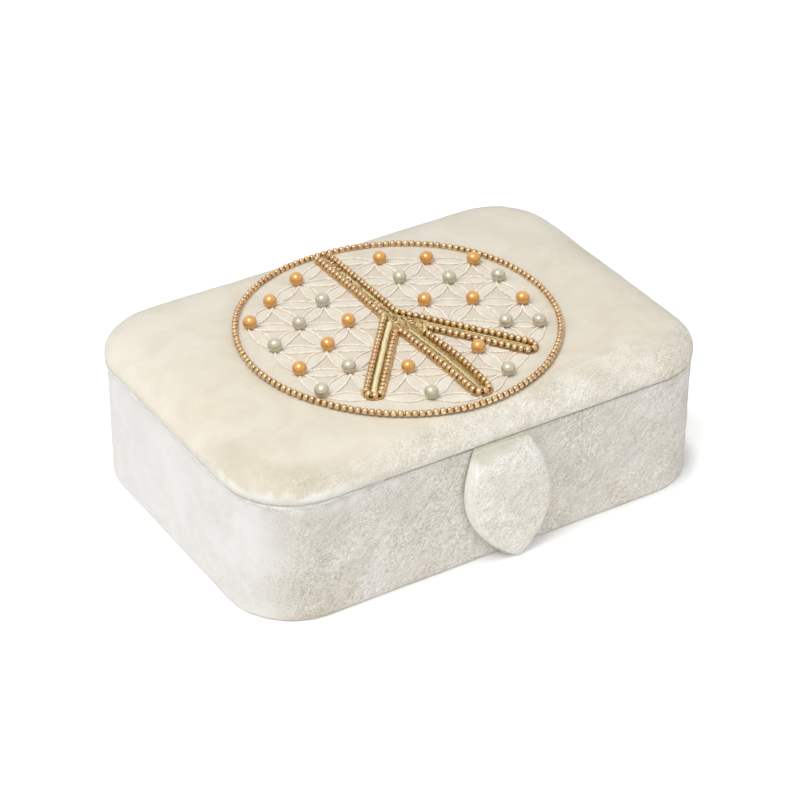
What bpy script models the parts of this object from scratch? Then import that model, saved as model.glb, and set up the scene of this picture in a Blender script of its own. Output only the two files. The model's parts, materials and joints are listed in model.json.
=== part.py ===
# Velvet tarot box: a padded, cloth-covered board box with a hinged pillow lid, a beaded
# medallion on the lid and a padded leaf-shaped closing tab held by a hidden magnet.
# Metres, +Z up, +X along the long front side, the front faces -Y.
# The origin is the middle of the underside.

import math

import bmesh
import bpy
from mathutils import Matrix, Vector

# Driving dimensions, in metres
LENGTH = 0.200
WIDTH = 0.140
CORNER = 0.027
RIM_HEIGHT = 0.051
PARTING_GAP = 0.0006
CLEAR = 0.0003

# Cloth and board thicknesses
VELVET = 0.0012
LID_VELVET = 0.0015
TURN_IN = 0.0010
WALL_BOARD = 0.0040
FLOOR_BOARD = 0.0030
LINING = 0.0008
FLOOR_CARD = 0.0010
FLOOR_PAD = 0.0016
LID_BOARD = 0.0030

# Folds and edges of the covering cloth
HEM_WIDTH = 0.0080
RIM_TURN_DEPTH = 0.0050
EDGE_ROUND = 0.0016
RIM_ROUND = 0.0008

# Pillow form of the lid
LID_SIDE = 0.0014
SHOULDER_IN = 0.0120
SHOULDER_UP = 0.0092
DOME_RISE = 0.00136

# Beaded medallion
RING_MARGIN = 0.0088
BEAD = 0.0025
BEAD_PITCH = 0.0026
BEAD_NECK = 0.0012
MEDALLION_SINK = 0.0010
MEDALLION_CLOTH = 0.0007
BRAID_HEIGHT = 0.0012
BRAID_EDGE = 0.25

# The medallion's drawing: these lengths are for a ring of DRAWN_RADIUS and grow with the ring.
# Peace sign: half the distance between the two bead rows of each bar, and their angles.
DRAWN_RADIUS = 0.0612
JUNCTION_Y = 0.0056
UPPER_HALF = 0.0029
LOWER_HALF = 0.0035
LEFT_HALF = 0.0028
RIGHT_HALF = 0.0030
UPPER_LEAN = math.radians(1.1)
LOWER_LEAN = math.radians(2.6)
LEFT_ANGLE = math.radians(38.9)
RIGHT_ANGLE = math.radians(36.2)
LOWER_MARGIN = 0.0055
LEFT_MARGIN = 0.0098
RIGHT_MARGIN = 0.0076
NOTCH_ROUND = 0.0016
ELBOW_ROUND = 0.0030

# Pearls: a triangular lattice, turned a little. The hand-sewn pearls lie off it, and this is
# written by column and half row from the top, in hundredths of the spacing.
PEARL = 0.0050
PEARL_SPACING = 0.0190
PEARL_TURN = math.radians(-1.3)
PEARL_ROOM = 0.00405
PEARL_SHIFT = (-2, -7)
PEARL_OFF = {
    (-3, 8): (0, 11),
    (-2, 1): (-16, 3),
    (-2, 3): (-5, -3),
    (-2, 5): (5, 0),
    (-2, 7): (0, 8),
    (-1, 0): (-13, 5),
    (-1, 2): (-11, 0),
    (-1, 4): (-3, 5),
    (-1, 8): (13, 0),
    (-1, 10): (8, 3),
    (1, 0): (5, -8),
    (1, 4): (-3, -3),
    (1, 8): (-3, -8),
    (1, 10): (8, -3),
    (2, 1): (0, -11),
    (2, 5): (-3, 3),
    (2, 7): (11, -5),
    (3, 2): (-3, -13),
    (3, 4): (5, 5),
    (3, 6): (0, 5),
    (3, 8): (-18, 16),
}

# Cloth hinge at the back
HINGE_LENGTH = 0.130
HINGE_TAPE = 0.0005
HINGE_DEPTH = 0.0100
HINGE_OUT = 0.0003

# Closing tab
TAB_LENGTH = 0.0485
TAB_TOP_WIDTH = 0.0240
TAB_WIDTH = 0.0345
TAB_WIDEST = 0.44
TAB_POINT = 0.80
TAB_THICK = 0.0058
TAB_TOP_THICK = 0.0017
TAB_SWELL = 0.0100
TAB_X = -0.0020
TAB_LEAN = math.radians(6.5)
TAB_GAP = 0.0004
TAB_DROP = 0.0008
TAB_CLOTH = 0.0010
TAB_BACK = 0.0008
TAB_BOARD = 0.0014
HOLLOW_FACTOR = 1.3
TIP_FACTOR = 1.6
CROWN_SHARES = ((1.0, 0.45), (0.95, 0.74), (0.86, 0.91), (0.6, 0.99), (0.3, 1.0), (0.0, 1.0))
MAGNET = 0.0100
MAGNET_DOWN = 0.0240
KEEPER = 0.0120
KEEPER_THICK = 0.0020

# Smoothness
CORNER_STEPS = 8
SHOULDER_STEPS = 5
DOME_STEPS = 4
MEDALLION_SIDES = 40
MEDALLION_RINGS = (1.0, 0.93, 0.8, 0.55, 0.28)
MAGNET_SIDES = 20
BEAD_SIDES = 5
PEARL_SIDES = 10
PEARL_RINGS = 6
BRAID_STEPS = 6
LEAF_STEPS = 16

# Levels worked out from the sizes above
BOARD_BOTTOM = VELVET + CLEAR
FLOOR_TOP = BOARD_BOTTOM + FLOOR_BOARD
CARD_BOTTOM = FLOOR_TOP + CLEAR
CARD_TOP = CARD_BOTTOM + FLOOR_CARD
PAD_BOTTOM = CARD_TOP + CLEAR
BOARD_IN = VELVET + CLEAR
BOARD_INNER = BOARD_IN + WALL_BOARD
LINING_IN = BOARD_INNER + CLEAR
TRAY_IN = LINING_IN + TURN_IN
LID_UNDER = RIM_HEIGHT + PARTING_GAP
LID_BOARD_UNDER = LID_UNDER + VELVET + CLEAR
LID_BOARD_TOP = LID_BOARD_UNDER + LID_BOARD
SHOULDER_Z = LID_UNDER + LID_SIDE
PLATEAU_Z = SHOULDER_Z + SHOULDER_UP
HINGE_Y = WIDTH / 2 + HINGE_OUT
HINGE_Z = RIM_HEIGHT + PARTING_GAP / 2
TAB_AXIS_Y = -WIDTH / 2 - HINGE_OUT
TAB_BACK_Y = -WIDTH / 2 - TAB_GAP
TAB_TOP_Z = HINGE_Z - TAB_DROP
RING_RADIUS = WIDTH / 2 - RING_MARGIN
RING_REACH = RING_RADIUS - BEAD / 2 - CLEAR
DRAWN = RING_RADIUS / DRAWN_RADIUS
REBATE = HINGE_TAPE + CLEAR


def clear_scene():
    for thing in list(bpy.data.objects):
        bpy.data.objects.remove(thing, do_unlink=True)


def make_material(name, colour, rough, metal=0.0):
    material = bpy.data.materials.new(name)
    material.use_nodes = True
    shader = material.node_tree.nodes["Principled BSDF"]
    shader.inputs["Base Color"].default_value = (*colour, 1.0)
    shader.inputs["Roughness"].default_value = rough
    shader.inputs["Metallic"].default_value = metal
    material.diffuse_color = (*colour, 1.0)
    return material


def make_materials():
    return {
        "velvet": make_material("cream_velvet", (0.80, 0.77, 0.70), 0.9),
        "board": make_material("grey_board", (0.50, 0.42, 0.33), 0.85),
        "wadding": make_material("white_wadding", (0.88, 0.88, 0.86), 1.0),
        "lining": make_material("cream_lining", (0.72, 0.68, 0.60), 0.8),
        "medallion": make_material("ivory_satin", (0.86, 0.80, 0.74), 0.5),
        "bead": make_material("antique_gold_bead", (0.58, 0.40, 0.20), 0.25, 1.0),
        "braid": make_material("gold_bullion", (0.62, 0.48, 0.18), 0.35, 1.0),
        "gold": make_material("golden_pearl", (0.78, 0.42, 0.10), 0.25),
        "silver": make_material("silver_pearl", (0.60, 0.60, 0.55), 0.25),
        "tape": make_material("cotton_tape", (0.82, 0.79, 0.73), 0.9),
        "steel": make_material("nickel_steel", (0.60, 0.60, 0.60), 0.35, 1.0),
    }


def finish(name, bm, material, parent=None, smooth_angle=35.0):
    """Turns a bmesh into a named object with outward faces, standing where its points are."""
    bmesh.ops.remove_doubles(bm, verts=bm.verts, dist=1e-7)
    bmesh.ops.dissolve_degenerate(bm, edges=bm.edges, dist=1e-7)
    bmesh.ops.recalc_face_normals(bm, faces=bm.faces)
    mesh = bpy.data.meshes.new(name)
    bm.to_mesh(mesh)
    bm.free()
    mesh.shade_smooth()
    mesh.set_sharp_from_angle(angle=math.radians(smooth_angle))
    mesh.materials.append(material)
    thing = bpy.data.objects.new(name, mesh)
    bpy.context.scene.collection.objects.link(thing)
    if parent is not None:
        hang(thing, parent)
    return thing


def hang(thing, parent):
    """Parents to an axis empty without moving the piece."""
    thing.parent = parent
    thing.matrix_parent_inverse = Matrix.Translation(-parent_place(parent))


def parent_place(empty):
    place = empty.location.copy()
    if empty.parent is not None:
        place += parent_place(empty.parent)
    return place


def axis_empty(name, place, parent=None):
    empty = bpy.data.objects.new(name, None)
    empty.empty_display_type = "SINGLE_ARROW"
    empty.empty_display_size = 0.02
    bpy.context.scene.collection.objects.link(empty)
    empty.location = place
    if parent is not None:
        empty.parent = parent
        empty.location = Vector(place) - parent_place(parent)
    return empty


def outline(inset, z, scale=1.0):
    """The box's rounded-rectangle outline, drawn in by inset and scaled about the middle."""
    radius = max(CORNER - inset, CLEAR)
    mid_x = LENGTH / 2 - inset - radius
    mid_y = WIDTH / 2 - inset - radius
    points = []
    for quarter, (side_x, side_y) in enumerate(((1, 1), (-1, 1), (-1, -1), (1, -1))):
        for step in range(CORNER_STEPS + 1):
            angle = (quarter + step / CORNER_STEPS) * math.pi / 2
            x = side_x * mid_x + radius * math.cos(angle)
            y = side_y * mid_y + radius * math.sin(angle)
            points.append(Vector((x * scale, y * scale, z)))
    return points


def join_rings(bm, rings, closed=False, caps=(True, True)):
    """Faces between rings of equal count. A ring of one point is a pole."""
    rows = [[bm.verts.new(point) for point in ring] for ring in rings]
    pairs = list(zip(rows, rows[1:]))
    if closed:
        pairs.append((rows[-1], rows[0]))
    for low, high in pairs:
        count = max(len(low), len(high))
        for i in range(count):
            j = (i + 1) % count
            if len(low) == 1:
                bm.faces.new((low[0], high[j], high[i]))
            elif len(high) == 1:
                bm.faces.new((low[i], low[j], high[0]))
            else:
                bm.faces.new((low[i], low[j], high[j], high[i]))
    for row, wanted in zip((rows[0], rows[-1]), caps):
        if wanted and not closed and len(row) > 1:
            bm.faces.new(row)


def swept_section(name, section, material, parent=None, closed=True):
    """A section of (inset, height) points carried round the box's outline."""
    bm = bmesh.new()
    join_rings(bm, [outline(inset, z) for inset, z in section], closed=closed)
    return finish(name, bm, material, parent)


def slab(name, inset, low, high, material, parent=None):
    return swept_section(name, [(inset, low), (inset, high)], material, parent, closed=False)


def cut_with(thing, cutter):
    cutter.hide_render = True
    cutter.display_type = "WIRE"
    boolean = thing.modifiers.new("cut", "BOOLEAN")
    boolean.operation = "DIFFERENCE"
    boolean.solver = "EXACT"
    boolean.object = cutter


def block(name, low, high, material, parent=None):
    bm = bmesh.new()
    corners = [(low[0], low[1]), (high[0], low[1]), (high[0], high[1]), (low[0], high[1])]
    join_rings(bm, [[Vector((x, y, z)) for x, y in corners] for z in (low[2], high[2])])
    return finish(name, bm, material, parent)


def disc_y(name, centre, radius, low_y, high_y, material, parent=None):
    """A round disc whose faces look along Y."""
    bm = bmesh.new()
    rings = []
    for y in (low_y, high_y):
        ring = []
        for i in range(MAGNET_SIDES):
            angle = 2 * math.pi * i / MAGNET_SIDES
            ring.append(
                Vector((centre[0] + radius * math.cos(angle), y, centre[1] + radius * math.sin(angle)))
            )
        rings.append(ring)
    join_rings(bm, rings)
    return finish(name, bm, material, parent)


# The base


def rim_velvet_section():
    """Covering cloth of the wall: hem under the box, outer face, rim, and turn-in."""
    return [
        (HEM_WIDTH, VELVET),
        (HEM_WIDTH, 0.0),
        (EDGE_ROUND, 0.0),
        (EDGE_ROUND * 0.3, EDGE_ROUND * 0.3),
        (0.0, EDGE_ROUND),
        (0.0, RIM_HEIGHT - RIM_ROUND),
        (RIM_ROUND * 0.3, RIM_HEIGHT - RIM_ROUND * 0.3),
        (RIM_ROUND, RIM_HEIGHT),
        (TRAY_IN - RIM_ROUND * 0.5, RIM_HEIGHT),
        (TRAY_IN, RIM_HEIGHT - RIM_ROUND * 0.5),
        (TRAY_IN, RIM_HEIGHT - RIM_TURN_DEPTH),
        (LINING_IN, RIM_HEIGHT - RIM_TURN_DEPTH),
        (LINING_IN, RIM_HEIGHT - VELVET),
        (VELVET, RIM_HEIGHT - VELVET),
        (VELVET, VELVET),
    ]


def hinge_cutter(name, low_z, high_z, inward):
    """Room for the hinge tape in the cloth at the back edge."""
    half = HINGE_LENGTH / 2 + CLEAR
    far_in = WIDTH / 2 - inward
    return block(name, (-half, far_in, low_z), (half, WIDTH / 2 + VELVET, high_z), None)


def make_base(mats):
    skin = swept_section("wall_velvet", rim_velvet_section(), mats["velvet"])
    inward = TRAY_IN + VELVET
    cut_with(skin, hinge_cutter("cut_rim", RIM_HEIGHT - REBATE, RIM_HEIGHT + VELVET, inward))

    wall = swept_section(
        "wall_board",
        [
            (BOARD_IN, BOARD_BOTTOM),
            (BOARD_IN, RIM_HEIGHT - VELVET - CLEAR),
            (BOARD_INNER, RIM_HEIGHT - VELVET - CLEAR),
            (BOARD_INNER, BOARD_BOTTOM),
        ],
        mats["board"],
    )
    pocket_x, pocket_z = magnet_place()
    wall_face = -WIDTH / 2 + BOARD_IN
    cut_with(
        wall,
        disc_y(
            "cut_keeper",
            (pocket_x, pocket_z),
            KEEPER / 2 + CLEAR,
            wall_face - CLEAR,
            wall_face + KEEPER_THICK + CLEAR,
            None,
        ),
    )
    disc_y(
        "wall_keeper",
        (pocket_x, pocket_z),
        KEEPER / 2,
        wall_face,
        wall_face + KEEPER_THICK,
        mats["steel"],
    )

    slab("base_board", BOARD_INNER + CLEAR, BOARD_BOTTOM, FLOOR_TOP, mats["board"])
    slab("underside_sheet", HEM_WIDTH + CLEAR, 0.0, VELVET, mats["lining"])
    swept_section(
        "wall_lining",
        [
            (LINING_IN, CARD_BOTTOM),
            (LINING_IN, RIM_HEIGHT - RIM_TURN_DEPTH - CLEAR),
            (LINING_IN + LINING, RIM_HEIGHT - RIM_TURN_DEPTH - CLEAR),
            (LINING_IN + LINING, CARD_BOTTOM),
        ],
        mats["lining"],
    )
    floor_in = LINING_IN + LINING + CLEAR
    slab("floor_card", floor_in, CARD_BOTTOM, CARD_TOP, mats["board"])
    swept_section(
        "floor_pad",
        [
            (floor_in, PAD_BOTTOM),
            (floor_in, PAD_BOTTOM + FLOOR_PAD * 0.5),
            (floor_in + FLOOR_PAD * 0.4, PAD_BOTTOM + FLOOR_PAD * 0.9),
            (floor_in + FLOOR_PAD * 1.2, PAD_BOTTOM + FLOOR_PAD),
        ],
        mats["lining"],
        closed=False,
    )

    top = RIM_HEIGHT
    under = RIM_HEIGHT - HINGE_TAPE
    outer_y = WIDTH / 2 - CLEAR
    inner_y = WIDTH / 2 - TRAY_IN - CLEAR
    profile = [
        (outer_y, under),
        (outer_y, top),
        (inner_y - HINGE_TAPE, top),
        (inner_y - HINGE_TAPE, top - HINGE_DEPTH),
        (inner_y, top - HINGE_DEPTH),
        (inner_y, under),
    ]
    bm = bmesh.new()
    ends = (-HINGE_LENGTH / 2, HINGE_LENGTH / 2)
    join_rings(bm, [[Vector((x, y, z)) for y, z in profile] for x in ends])
    finish("hinge_tape_base", bm, mats["tape"])


# The lid


def shoulder_ring(turn, offset=0.0):
    """Inset and height on the lid's rounded shoulder, offset inwards from its skin."""
    inset = SHOULDER_IN - (SHOULDER_IN - offset) * math.cos(turn)
    z = SHOULDER_Z + (SHOULDER_UP - offset) * math.sin(turn)
    return outline(inset, z)


def dome_rings(offset=0.0):
    """Rings of the gently domed top, from the plateau's edge to the pole."""
    rings = []
    for step in range(1, DOME_STEPS):
        scale = 1 - step / DOME_STEPS
        z = PLATEAU_Z + DOME_RISE * (1 - scale**2) - offset
        rings.append(outline(SHOULDER_IN, z, scale))
    rings.append([Vector((0, 0, PLATEAU_Z + DOME_RISE - offset))])
    return rings


def shoulder_rings(offset=0.0, start=0.0):
    turns = [start + (math.pi / 2 - start) * i / SHOULDER_STEPS for i in range(SHOULDER_STEPS + 1)]
    return [shoulder_ring(turn, offset) for turn in turns]


def inset_at(x, y):
    """How far a place lies inside the box's outline."""
    over_x = abs(x) - (LENGTH / 2 - CORNER)
    over_y = abs(y) - (WIDTH / 2 - CORNER)
    outside = math.hypot(max(over_x, 0), max(over_y, 0)) + min(max(over_x, over_y), 0)
    return CORNER - outside


def plateau_scale(x, y):
    """The scale of the plateau's outline that passes through a place."""
    x, y = abs(x), abs(y)
    half_x, half_y = LENGTH / 2 - SHOULDER_IN, WIDTH / 2 - SHOULDER_IN
    radius = max(CORNER - SHOULDER_IN, CLEAR)
    mid_x, mid_y = half_x - radius, half_y - radius
    scale = max(x / half_x, y / half_y)
    if x > scale * mid_x and y > scale * mid_y:
        a = mid_x**2 + mid_y**2 - radius**2
        b = x * mid_x + y * mid_y
        c = x * x + y * y
        scale = (b - math.sqrt(max(b * b - a * c, 0))) / a
    return scale


def lid_top(x, y):
    """Height of the lid's skin."""
    inset = max(inset_at(x, y), 0)
    if inset < SHOULDER_IN:
        share = (SHOULDER_IN - inset) / SHOULDER_IN
        return SHOULDER_Z + SHOULDER_UP * math.sqrt(1 - share**2)
    return PLATEAU_Z + DOME_RISE * (1 - min(plateau_scale(x, y), 1) ** 2)


def cloth_top(x, y):
    """Height of the medallion cloth's upper face. The cloth is let into the lid's velvet."""
    return lid_top(x, y) - MEDALLION_SINK + CLEAR + MEDALLION_CLOTH


def make_lid(mats, axis):
    outer = [outline(HEM_WIDTH, LID_UNDER), outline(RIM_ROUND, LID_UNDER)]
    outer.append(outline(RIM_ROUND * 0.3, LID_UNDER + RIM_ROUND * 0.3))
    outer.append(outline(0.0, LID_UNDER + RIM_ROUND))
    outer += shoulder_rings() + dome_rings()
    inner = [outline(HEM_WIDTH, LID_UNDER + VELVET), outline(LID_VELVET, LID_UNDER + VELVET)]
    inner += shoulder_rings(LID_VELVET) + dome_rings(LID_VELVET)
    bm = bmesh.new()
    join_rings(bm, inner[::-1] + outer)
    skin = finish("lid_velvet", bm, mats["velvet"], axis)
    cut_with(skin, medallion_cutter())
    top = LID_UNDER + REBATE
    cut_with(skin, hinge_cutter("cut_lid", LID_UNDER - VELVET, top, HEM_WIDTH + VELVET))
    tongue_half = TAB_TOP_WIDTH / 2 - TAB_CLOTH
    cut_with(
        skin,
        block(
            "cut_tongue",
            (TAB_X - tongue_half - CLEAR, -WIDTH / 2 - VELVET, LID_UNDER - VELVET),
            (TAB_X + tongue_half + CLEAR, -WIDTH / 2 + HEM_WIDTH + VELVET, top),
            None,
        ),
    )

    board_rise = (LID_BOARD_TOP - SHOULDER_Z) / SHOULDER_UP
    board_in = SHOULDER_IN - (SHOULDER_IN - LID_VELVET) * math.sqrt(1 - board_rise**2)
    slab("lid_board", board_in + 2 * CLEAR, LID_BOARD_UNDER, LID_BOARD_TOP, mats["board"], axis)

    offset = LID_VELVET + CLEAR
    start = math.asin((LID_BOARD_TOP + CLEAR - SHOULDER_Z) / (SHOULDER_UP - offset))
    bm = bmesh.new()
    join_rings(bm, shoulder_rings(offset, start) + dome_rings(offset))
    finish("lid_wadding", bm, mats["wadding"], axis)

    slab("lid_lining", HEM_WIDTH + CLEAR, LID_UNDER, LID_UNDER + VELVET, mats["lining"], axis)
    block(
        "hinge_tape_lid",
        (-HINGE_LENGTH / 2, WIDTH / 2 - HEM_WIDTH + CLEAR, LID_UNDER),
        (HINGE_LENGTH / 2, WIDTH / 2 - CLEAR, LID_UNDER + HINGE_TAPE),
        mats["tape"],
        axis,
    )
    block(
        "tab_tongue",
        (TAB_X - tongue_half, -WIDTH / 2 + CLEAR, LID_UNDER),
        (TAB_X + tongue_half, -WIDTH / 2 + HEM_WIDTH - CLEAR, LID_UNDER + HINGE_TAPE),
        mats["tape"],
        axis,
    )


# The medallion


def round_ring(radius, height):
    ring = []
    for i in range(MEDALLION_SIDES):
        angle = 2 * math.pi * i / MEDALLION_SIDES
        x, y = radius * math.cos(angle), radius * math.sin(angle)
        ring.append(Vector((x, y, height(x, y))))
    return ring


def domed_disc(name, radius, under, over, material, axis=None):
    """A round sheet between two heights that follow the lid."""
    radii = [radius * share for share in MEDALLION_RINGS]
    low = [round_ring(r, under) for r in radii] + [[Vector((0, 0, under(0, 0)))]]
    high = [round_ring(r, over) for r in radii] + [[Vector((0, 0, over(0, 0)))]]
    bm = bmesh.new()
    join_rings(bm, low[::-1] + high)
    return finish(name, bm, material, axis)


def make_medallion_cloth(mats, axis):
    def under(x, y):
        return cloth_top(x, y) - MEDALLION_CLOTH

    domed_disc("medallion_cloth", RING_REACH, under, cloth_top, mats["medallion"], axis)


def medallion_cutter():
    """The round recess in the lid's velvet that the medallion cloth fills."""

    def floor(x, y):
        return lid_top(x, y) - MEDALLION_SINK

    def above(x, y):
        return PLATEAU_Z + DOME_RISE + BEAD

    return domed_disc("cut_medallion", RING_REACH + CLEAR, floor, above, None)


def strung_beads(name, centres, closed, material, axis):
    """One strung row: the thread swells to a bead at every second place of the path."""
    count = len(centres)
    rings = []
    for i, centre in enumerate(centres):
        before = centres[(i - 1) % count] if closed or i else centre
        after = centres[(i + 1) % count] if closed or i < count - 1 else centre
        along = (after - before).normalized()
        side = along.cross(Vector((0, 0, 1))).normalized()
        up = side.cross(along)
        radius = BEAD / 2 if i % 2 else BEAD_NECK / 2
        ring = []
        for corner in range(BEAD_SIDES):
            angle = 2 * math.pi * (corner + 0.5) / BEAD_SIDES
            ring.append(centre + radius * (math.cos(angle) * side + math.sin(angle) * up))
        rings.append(ring)
    bm = bmesh.new()
    join_rings(bm, rings, closed=closed)
    finish(name, bm, material, axis, smooth_angle=75.0)


def make_bead_ring(mats, axis):
    beads = round(2 * math.pi * RING_RADIUS / BEAD_PITCH)
    centres = []
    for i in range(2 * beads):
        angle = math.pi * i / beads
        x, y = RING_RADIUS * math.cos(angle), RING_RADIUS * math.sin(angle)
        centres.append(Vector((x, y, lid_top(x, y) + CLEAR + BEAD / 2)))
    strung_beads("bead_ring", centres, True, mats["bead"], axis)


def crossing(point, along, other, other_along):
    """Where two lines in the plane meet."""
    turn = along.x * other_along.y - along.y * other_along.x
    gap = other - point
    share = (gap.x * other_along.y - gap.y * other_along.x) / turn
    return point + along * share


def bar_edges(start, along, half):
    """Places on the right and left bead lines of a bar that runs down from start."""
    right = Vector((-along.y, along.x)) * half
    return start + right, start - right


def reach_along(start, along, radius):
    """How far along a line from start a circle round the origin lies."""
    toward = start.dot(along)
    return -toward + math.sqrt(max(toward**2 - start.dot(start) + radius**2, 0))


def sign_bars():
    """Middle line, half width and length to the outermost bead of each bar."""
    start = Vector((0.0, JUNCTION_Y)) * DRAWN
    bars = {}
    for name, angle, half, margin in (
        ("upper", math.pi - UPPER_LEAN, UPPER_HALF, 0.0),
        ("left", -LEFT_ANGLE, LEFT_HALF, LEFT_MARGIN),
        ("lower", LOWER_LEAN, LOWER_HALF, LOWER_MARGIN),
        ("right", RIGHT_ANGLE, RIGHT_HALF, RIGHT_MARGIN),
    ):
        along = Vector((math.sin(angle), -math.cos(angle)))
        length = reach_along(start, along, RING_RADIUS - margin * DRAWN)
        bars[name] = (start, along, half * DRAWN, length)
    return bars


def sign_corners():
    """The peace sign's bead line from the ring, round all its bars and back: (place, rounding)."""
    bars = sign_bars()
    start, up, half, _ = bars["upper"]
    left_edge, right_edge = bar_edges(start, up, half)
    tops = [edge + up * reach_along(edge, up, RING_REACH - BEAD / 2) for edge in (left_edge, right_edge)]
    corners = [(tops[0], 0.0)]
    line = (tops[0], -up)
    for name, rounding in (("left", ELBOW_ROUND), ("lower", NOTCH_ROUND), ("right", NOTCH_ROUND)):
        start, along, half, length = bars[name]
        right_edge, left_edge = bar_edges(start, along, half)
        corners.append((crossing(*line, left_edge, along), rounding * DRAWN))
        corners.append((left_edge + along * length, half))
        corners.append((right_edge + along * length, half))
        line = (right_edge, along)
    corners.append((crossing(*line, tops[1], up), ELBOW_ROUND * DRAWN))
    corners.append((tops[1], 0.0))
    return corners


def rounded_line(corners, step):
    """A line through the corners with each one rounded, as places about a step apart."""
    places = []
    for i, (corner, radius) in enumerate(corners):
        if radius == 0:
            places.append(corner)
            continue
        back = (corners[i - 1][0] - corner).normalized()
        on = (corners[i + 1][0] - corner).normalized()
        half_angle = back.angle(on) / 2
        tangent = radius / math.tan(half_angle)
        centre = corner + (back + on).normalized() * radius / math.sin(half_angle)
        first = corner + back * tangent - centre
        last = corner + on * tangent - centre
        turn = first.angle_signed(last)
        steps = max(int(abs(turn) * radius / step), 2)
        for k in range(steps + 1):
            share = -turn * k / steps
            c, s = math.cos(share), math.sin(share)
            places.append(centre + Vector((c * first.x - s * first.y, s * first.x + c * first.y)))
    return places


def even_places(places, pitch, parts):
    """Places an equal distance apart along a line, both ends included: the whole number of
    beads that fits the line best, with as many parts to a bead."""
    travelled = [0.0]
    for a, b in zip(places, places[1:]):
        travelled.append(travelled[-1] + (b - a).length)
    count = parts * round(travelled[-1] / pitch) + 1
    even = []
    k = 0
    for i in range(count):
        want = travelled[-1] * i / (count - 1)
        while k < len(places) - 2 and travelled[k + 1] < want:
            k += 1
        span = travelled[k + 1] - travelled[k]
        share = (want - travelled[k]) / span if span else 0.0
        even.append(places[k].lerp(places[k + 1], share))
    return even


def sign_line():
    """The middles of the sign's beads and the places halfway between them."""
    return even_places(rounded_line(sign_corners(), BEAD_PITCH / 8), BEAD_PITCH, 2)


def make_sign(mats, axis):
    centres = [Vector((p.x, p.y, cloth_top(p.x, p.y) + CLEAR + BEAD / 2)) for p in sign_line()]
    strung_beads("sign_bead_row", centres, False, mats["bead"], axis)

    room = BEAD / 2 + CLEAR
    bars = sign_bars()
    start, along, lower_half, length = bars["lower"]
    _, up, upper_half, _ = bars["upper"]
    upper_width, lower_width = upper_half - room, lower_half - room
    top = start + up * (reach_along(start, up, RING_REACH) - CLEAR)
    stations = [(top.lerp(start, k / BRAID_STEPS), upper_width) for k in range(BRAID_STEPS + 1)]
    widen = 2 * lower_half
    for k in range(BRAID_STEPS + 1):
        place = start + along * (widen + (length - lower_half - widen) * k / BRAID_STEPS)
        stations.append((place, lower_width))
    braid("braid_upright", stations, mats["braid"], axis)

    for name in ("left", "right"):
        start, along, half, length = bars[name]
        width = half - room
        lean = abs(along.x)
        first = (lower_width + 2 * CLEAR + width * abs(along.y)) / lean
        last = length - half
        step = (last - first) / BRAID_STEPS
        stations = [(start + along * (first + step * k), width) for k in range(BRAID_STEPS + 1)]
        braid(f"braid_{name}", stations, mats["braid"], axis)


def braid(name, stations, material, axis):
    """A half-round length of bullion braid lying on the medallion cloth."""
    bm = bmesh.new()
    rings = []
    for i, (place, width) in enumerate(stations):
        before = stations[max(i - 1, 0)][0]
        after = stations[min(i + 1, len(stations) - 1)][0]
        along = (after - before).normalized()
        side = Vector((along.y, -along.x))
        ring = []
        for turn in range(BRAID_STEPS + 1):
            angle = math.pi * turn / BRAID_STEPS
            flat = place + side * width * math.cos(angle)
            rise = CLEAR + (BRAID_EDGE + (1 - BRAID_EDGE) * math.sin(angle)) * BRAID_HEIGHT
            ring.append(Vector((flat.x, flat.y, cloth_top(flat.x, flat.y) + rise)))
        for reach in (-width, width):
            flat = place + side * reach
            ring.append(Vector((flat.x, flat.y, cloth_top(flat.x, flat.y) + CLEAR)))
        rings.append(ring)
    join_rings(bm, rings)
    finish(name, bm, material, axis)


def pearl_places():
    """Lattice places that hold a pearl: (place, golden). A pearl lies clear of the bead line,
    and gives way to it where the drawing is made small."""
    line = sign_line()
    spacing = PEARL_SPACING * DRAWN
    step_x = spacing * math.sqrt(3) / 2
    columns = int(RING_RADIUS / step_x)
    rows = int(2 * RING_RADIUS / spacing)
    turn = Matrix.Rotation(PEARL_TURN, 2)
    found = []
    for column in range(-columns, columns + 1):
        for row in range(2 * rows + 1):
            if (row - rows + column) % 2 or column == 0:
                continue
            place = turn @ Vector((column * step_x, (rows - row) * spacing / 2))
            half_rows_down = row - rows + 5
            for off in (PEARL_SHIFT, PEARL_OFF.get((column, half_rows_down), (0, 0))):
                place += Vector(off) * spacing / 100
            if place.length > RING_RADIUS - PEARL_ROOM * DRAWN:
                continue
            nearest = min(line, key=lambda p: (place - p).length)
            away = place - nearest
            if away.length < PEARL_ROOM * DRAWN:
                continue
            room = (PEARL + BEAD) / 2 + CLEAR
            if away.length < room:
                place = nearest + away.normalized() * room
            golden = (half_rows_down - abs(column) + 1) // 2 % 2 == 0
            found.append((place, golden))
    return found


def make_pearls(mats, axis):
    counts = {"gold": 0, "silver": 0}
    for place, golden in pearl_places():
        kind = "gold" if golden else "silver"
        counts[kind] += 1
        bm = bmesh.new()
        bmesh.ops.create_uvsphere(bm, u_segments=PEARL_SIDES, v_segments=PEARL_RINGS, radius=PEARL / 2)
        z = cloth_top(place.x, place.y) + CLEAR + PEARL / 2
        bmesh.ops.translate(bm, verts=bm.verts, vec=Vector((place.x, place.y, z)))
        finish(f"pearl_{kind}_{counts[kind]:02d}", bm, mats[kind], axis, smooth_angle=80.0)


# The closing tab


def tab_middle(down):
    """Middle line of the leaf at a distance down from its top edge."""
    return TAB_X + math.tan(TAB_LEAN) * down


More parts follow.
